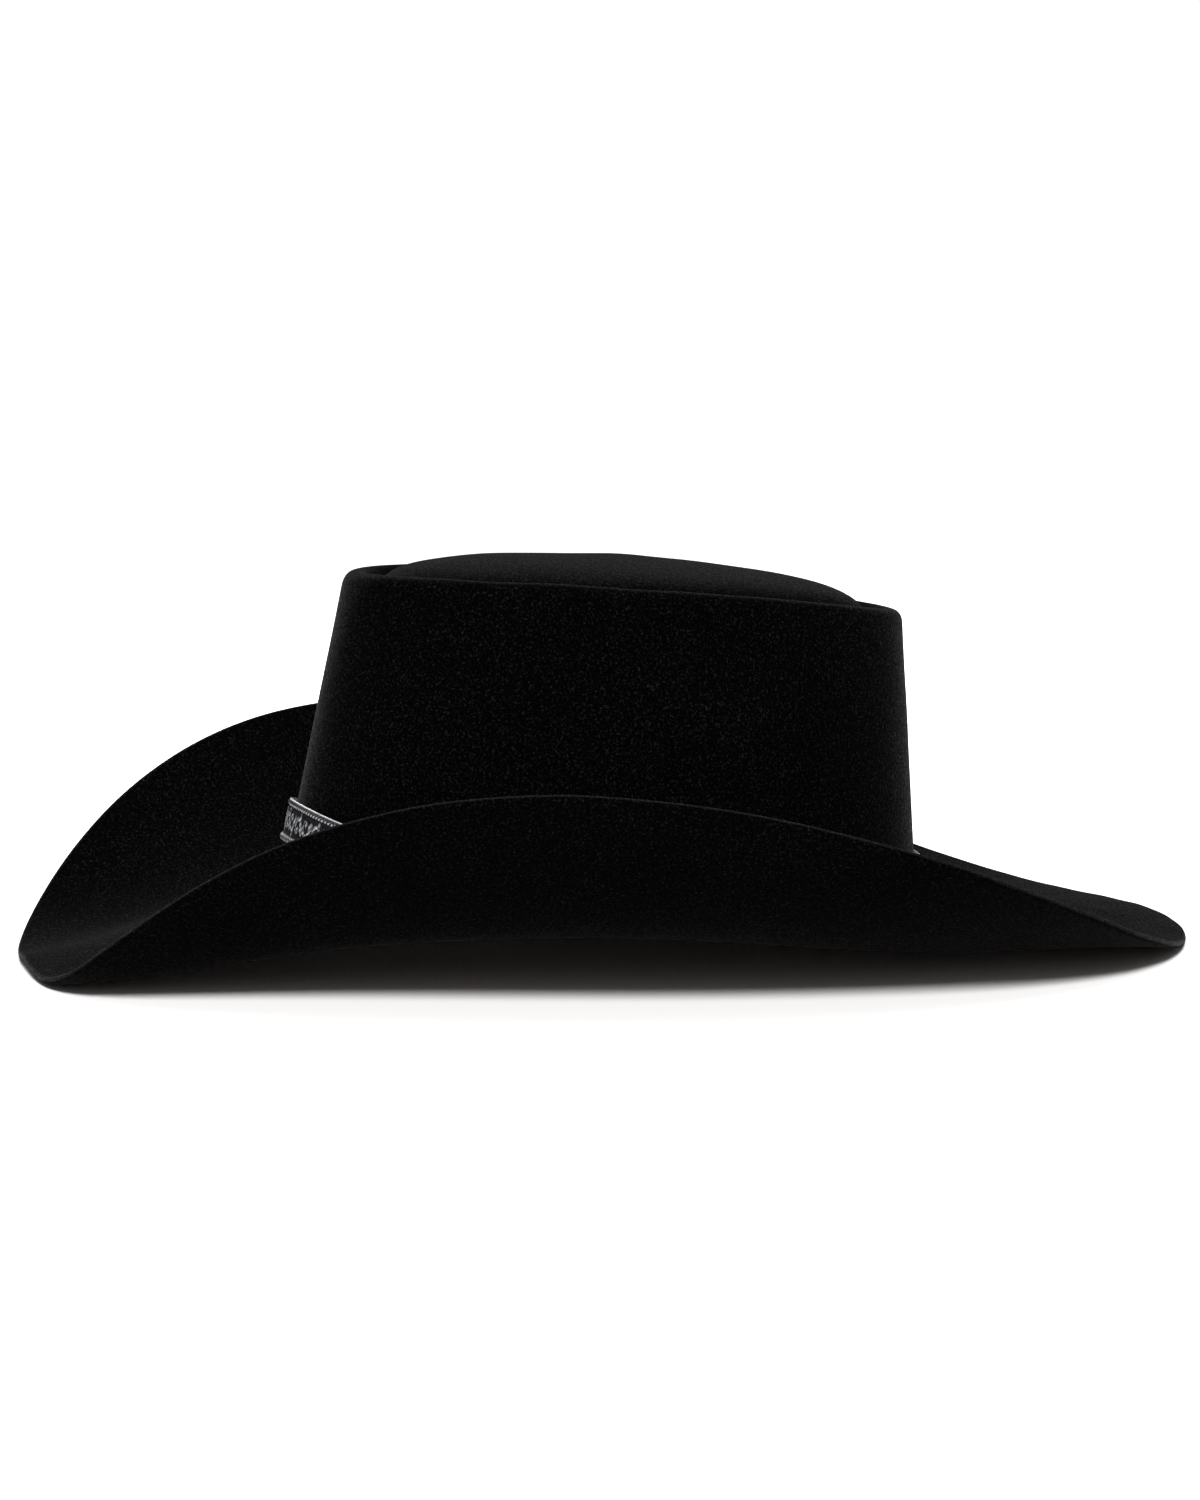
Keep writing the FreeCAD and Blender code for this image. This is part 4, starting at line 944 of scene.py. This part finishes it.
def strap_section():
    """The strap's section, from its face round: (height, depth, relief share, way in from an edge)."""
    half, radius = STRAP_THICK / 2, 0.32
    low, high = STRAP_LOW + radius, STRAP_HIGH - radius

    def corner(height, depth, first):
        """A quarter circle about a corner's centre."""
        return [(height + radius * math.cos(turn), depth + radius * math.sin(turn), 0, 0)
                for turn in np.linspace(first, first - math.pi / 2, 5)]

    section = []
    for height in np.linspace(low, high, 46):
        inner = min(height - STRAP_LOW, STRAP_HIGH - height)
        margin = 1.1 if height > MIDDLE else 0.35
        section.append((height, half, min(1.0, max(0.0, (inner - margin) / 0.35)), inner))
    section += corner(high, half - radius, math.pi / 2)[1:]
    section += corner(high, radius - half, 0)
    section += [(height, -half, 0, 5) for height in np.linspace(high, low, 10)[1:-1]]
    section += corner(low, radius - half, -math.pi / 2)
    return section + corner(low, half - radius, math.pi)[:-1]


def add_strap():
    section = strap_section()
    columns, raised_and_glint = [], []
    # the relief fades where the metal tip covers it, and the lower edge flares only where it lies free
    bare = np.clip((strap_length - TIP_OVERLAP) / 1.5, 0, 1)
    lying_free = free_share(strap_places[:, 0])
    for height, depth, share, inner in section:
        pattern = tooling(strap_length, height) * share
        # this share sets the carving's gloss and its painted highlight; the upper border gets a little
        # less of both
        raised_and_glint.append(np.clip(pattern + 0.5 - 0.12 * (share < 1 and height > MIDDLE), 0, 1))
        relief = STRAP_RELIEF * pattern
        if depth == STRAP_THICK / 2 and share < 1:
            relief = relief - 0.16 * bump(inner - 1.05, 0.16)
        deep = depth + relief * bare + flare(height) * lying_free
        columns.append(on_wall(angle_of(strap_places[:, 0] + deep * strap_side[:, 0]), height,
                               strap_places[:, 1] + deep * strap_side[:, 1]))
    made = tube_grid("hatband_strap_leather", np.stack(columns, 1), BAND_LEATHER, False,
                     slot="band_leather")
    made.data.materials.append(BAND_EDGE_HIGHLIGHT)
    layer = made.data.attributes.new("raised_and_glint", "FLOAT", "POINT")
    layer.data.foreach_set("value", np.stack(raised_and_glint, 1).ravel())
    count = len(section)
    # the faces along the strap's top edge take the painted highlight material
    edge = [height > STRAP_HIGH - 0.4 and depth > 0.25 for height, depth, _, _ in section]
    for polygon in made.data.polygons:
        column = [v % count for v in polygon.vertices]
        if len(column) == 4 and all(edge[c] for c in column):
            polygon.material_index = 1
    cut_box(made, at_bar, ((-8, 3), (-1.3, 1.3), (-6, 6)), BAND_LEATHER)
    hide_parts("hatband_strap")


def add_lining():
    section = rounded_section(STRAP_LOW + 0.4, STRAP_HIGH - 0.4, 0.38, 1.06, 0.26, (6, 6))
    grid = band_grid(np.linspace(angle_of(26.0), angle_of(WHOLE - 16.0), 500), section)
    made = tube_grid("hatband_lining_leather", grid, BAND_LINING, False, slot="band_lining")
    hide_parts("hatband_lining")


def add_edge_threads():
    first, last = angle_of(TIP_START + TIP_LENGTH + 6.0), angle_of(WHOLE - 22.0)
    starts = np.linspace(first, last, int((last - first) * BREAK_HALF_LENGTH / LACING_PITCH))
    for label, height, lean in (("upper", STRAP_HIGH - 1.0, 1.1), ("lower", STRAP_LOW + 1.0, -1.1)):
        face = STRAP_OUT + STRAP_THICK / 2 - 0.1 + flare(height)
        lines = stitch_arcs(starts, 1.1, height, lean, face, 0.28)
        made = threads(f"hatband_{label}_lacing", lines, 0.22, EDGE_THREAD, slot="edge_thread")
        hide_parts(f"hatband_{label}_thread")


def add_fold_stitches():
    place = frame_at(angle_of(8.5), 0, 0)
    short, share = np.linspace(0, 1, 7), np.linspace(0, 1, 9)
    lines = []
    for k in range(4):
        foot = STRAP_LOW + 1.6 + 3.0 * k
        lines.append(place(stack(0.3, foot + 1.4 * short, 0.75)))
        lines.append(place(stack(0.3, foot + 1.4 * share, 4.05 + 0.32 * np.sin(math.pi * share))))
    made = threads("fold_stitches_thread", lines, 0.26, THREAD, slot="black_thread")
    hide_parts("fold_stitches")


add_strap()
add_lining()
add_edge_threads()
add_fold_stitches()

# ---------------------------------------------------------------- buckle, keeper and tip

BUCKLE_WINDOW, ARM_WIDTH, RAIL_WIDTH, RAIL_REACH = 14.9, 1.4, 2.0, 12.0
FRAME_LOW, FRAME_DEEP = -0.5, 2.0


def sweep_section(width, inner, depth, steps=20):
    """A domed bar's section as (across, up) pairs."""
    pairs = [(squared(math.cos(turn), 0.62), squared(math.sin(turn), 0.62)) for turn in turns(steps)]
    return [(across * width / 2, inner + (up + 1) / 2 * depth) for across, up in pairs]


def add_buckle():
    half = (BUCKLE_WINDOW + ARM_WIDTH) / 2
    rail = -RAIL_REACH + RAIL_WIDTH / 2
    corner = 1.5
    # one arm with its corner, then the rail, then the first part mirrored and walked backwards
    arm = [(x, -half, ARM_WIDTH, 0, -1) for x in np.linspace(1.1, rail + corner, 60)]
    for turn in np.linspace(0, math.pi / 2, 12)[1:]:
        width = ARM_WIDTH + (RAIL_WIDTH - ARM_WIDTH) * turn / (math.pi / 2)
        arm.append((rail + corner - corner * math.sin(turn), -half + corner - corner * math.cos(turn),
                    width, -math.sin(turn), -math.cos(turn)))
    path = arm + [(rail, y, RAIL_WIDTH, -1, 0)
                  for y in np.linspace(-half + corner, half - corner, 80)[1:-1]]
    path += [(x, -y, width, out_x, -out_y) for x, y, width, out_x, out_y in arm[::-1]]
    rows = []
    length = 0.0
    before = path[0]
    for x, y, width, out_x, out_y in path:
        length += math.hypot(x - before[0], y - before[1])
        before = (x, y)
        rope = 0.07 * math.sin(length * 4.6)
        loop = []
        for across, up in sweep_section(width, FRAME_LOW, FRAME_DEEP):
            top = max(0.0, (up - FRAME_LOW) / FRAME_DEEP - 0.55) / 0.45
            carved = rope * top * math.cos(across * 2.2)
            groove = -0.14 * top * bump(abs(across) - width * 0.28, 0.10)
            loop.append((x + out_x * across, y + out_y * across, up + carved + groove))
        rows.append(at_bar(loop))
    made = tube_grid("buckle_frame_metal", rows, NICKEL, False, slot="buckle_metal")
    turn = turns(24)
    radius = BAR_RADIUS - 0.01
    bar = [at_bar(stack(radius * np.cos(turn), y, radius * np.sin(turn)))
           for y in np.linspace(-half, half, 41)]
    pin = tube_grid("buckle_frame_bar", bar, NICKEL, False, slot="buckle_metal")
    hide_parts("buckle_frame")
    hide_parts("buckle_frame")


def add_prong():
    tilt, eye_radius, reach, eye_width = math.radians(12.8), 1.35, 12.75, 1.46

    def tilted(points):
        points = np.asarray(points, float)
        x, z = points[..., 0], points[..., 2]
        # a turn about Y that lifts the tip at -X
        return at_bar(np.stack([x * math.cos(tilt) + z * math.sin(tilt), points[..., 1],
                                -x * math.sin(tilt) + z * math.cos(tilt)], -1))

    rows = []
    for turn in turns(40):
        rows.append(tilted([(up * math.cos(turn), across, up * math.sin(turn))
                            for across, up in sweep_section(eye_width, 0.985, 0.78, 16)]))
    eye = tube_grid("buckle_prong_eye", rows, NICKEL, True, body="tongue", slot="buckle_metal")
    rows = []
    for share in np.linspace(0, 1, 46):
        x = -eye_radius - (reach - eye_radius) * share
        tip = max(0.0, (share - 0.9) / 0.1)
        fade = math.sqrt(max(0.0, 1 - tip ** 2)) * 0.92 + 0.08
        width = (eye_width - 0.36 * share) * fade
        deep = 1.26 * (1 - 0.22 * share) * fade
        middle = 0.18 * math.sin(math.pi * share) - 0.05 * share
        loop = [(x, across, middle + up - deep / 2) for across, up in sweep_section(width, 0, deep, 16)]
        rows.append(tilted(loop))
    arm = tube_grid("buckle_prong_arm", rows, NICKEL, False, body="tongue", slot="buckle_metal")
    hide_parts("buckle_prong")
    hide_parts("buckle_prong")


def add_keeper():
    low, high, wall = 0.45, 5.75, 0.6
    place = frame_at(angle_of(16.0), MIDDLE, 0.0)
    half_up, half_out = (STRAP_HIGH - STRAP_LOW + 0.6 + wall) / 2, (high - low - wall) / 2
    centre, corner = (high + low) / 2, 0.9
    arcs = []
    for k, (side_up, side_out) in enumerate(((1, 1), (-1, 1), (-1, -1), (1, -1))):
        turn = k * math.pi / 2 + np.linspace(0, math.pi / 2, 7)
        normal = np.stack([np.cos(turn), np.sin(turn)], -1)
        middle = np.array([side_up * (half_up - corner), side_out * (half_out - corner)])
        arcs.append(np.concatenate([middle + corner * normal, normal], 1))
    path = []
    for k, arc in enumerate(arcs):
        share = np.linspace(0, 1, 8 if k % 2 else 26)[1:-1, None]
        path += [*arc, *(arc[-1] + (arcs[(k + 1) % 4][0] - arc[-1]) * share)]
    rows = []
    for up, out, ny, nz in path:
        loop = []
        for turn in turns(28):
            across = squared(math.cos(turn), 0.55) * 2.22
            thick = squared(math.sin(turn), 0.55) * (wall / 2 - 0.03)
            if math.sin(turn) > 0:
                thick += 0.10 * bump(abs(across) - 1.55, 0.28) - 0.06 * bump(across, 0.9)
                thick += 0.05 * math.cos(up * 3.1) * bump(across, 0.8) * (nz > 0.9)
            loop.append((across, up + ny * thick, centre + out + nz * thick))
        rows.append(place(loop))
    made = tube_grid("keeper_loop_metal", rows, NICKEL, True, body="keeper", slot="buckle_metal")
    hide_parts("keeper_loop")


def add_strap_tip():
    place = frame_at(angle_of(TIP_START + TIP_LENGTH / 2), MIDDLE, TAIL_OUT)
    half = (STRAP_HIGH - STRAP_LOW + 1.2) / 2
    straight = TIP_LENGTH - half
    start = -TIP_LENGTH / 2

    def outline(inset):
        """Two straight sides and a round end, drawn in by the inset."""
        reach = half - inset
        side = [(start + straight * share, -reach) for share in np.linspace(0, 1, 12)]
        end = [(start + straight + reach * math.cos(turn), reach * math.sin(turn))
               for turn in np.linspace(-math.pi / 2, math.pi / 2, 40)[1:-1]]
        return side + end + [(x, -y) for x, y in side[::-1]]

    # the cap as (inset, up), from its outer face round the edge to its back, then its mouth cut out
    layers = [(3.2, 1.12), (2.6, 1.12), (2.2, 0.92), (1.9, 0.92), (1.5, 1.06), (1.0, 1.08),
              (0.55, 0.98), (0.2, 0.72), (0.02, 0.35), (0.02, -0.6), (0.2, -0.95), (0.6, -1.12),
              (3.2, -1.12)]
    rows = [[(x, y, up) for x, y in outline(inset)] for inset, up in layers]
    made = tube_grid("strap_tip_metal", place(rows), NICKEL, False, slot="buckle_metal")
    half_wide, half_deep = (STRAP_HIGH - STRAP_LOW + 0.5) / 2, (STRAP_THICK + 0.5) / 2
    cut_box(made, place, ((start - 1.0, start + TIP_OVERLAP + 0.5), (-half_wide, half_wide),
                          (-half_deep, half_deep)), NICKEL)
    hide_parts("strap_tip")


add_buckle()
add_prong()
add_keeper()
add_strap_tip()

# ---------------------------------------------------------------- nodes kept from the CAD


def repaint(node, material):
    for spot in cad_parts[node].material_slots:
        spot.link = "OBJECT"
        spot.material = material


repaint("sweatband_reed", REED)
repaint("reed_ferrule", NICKEL)
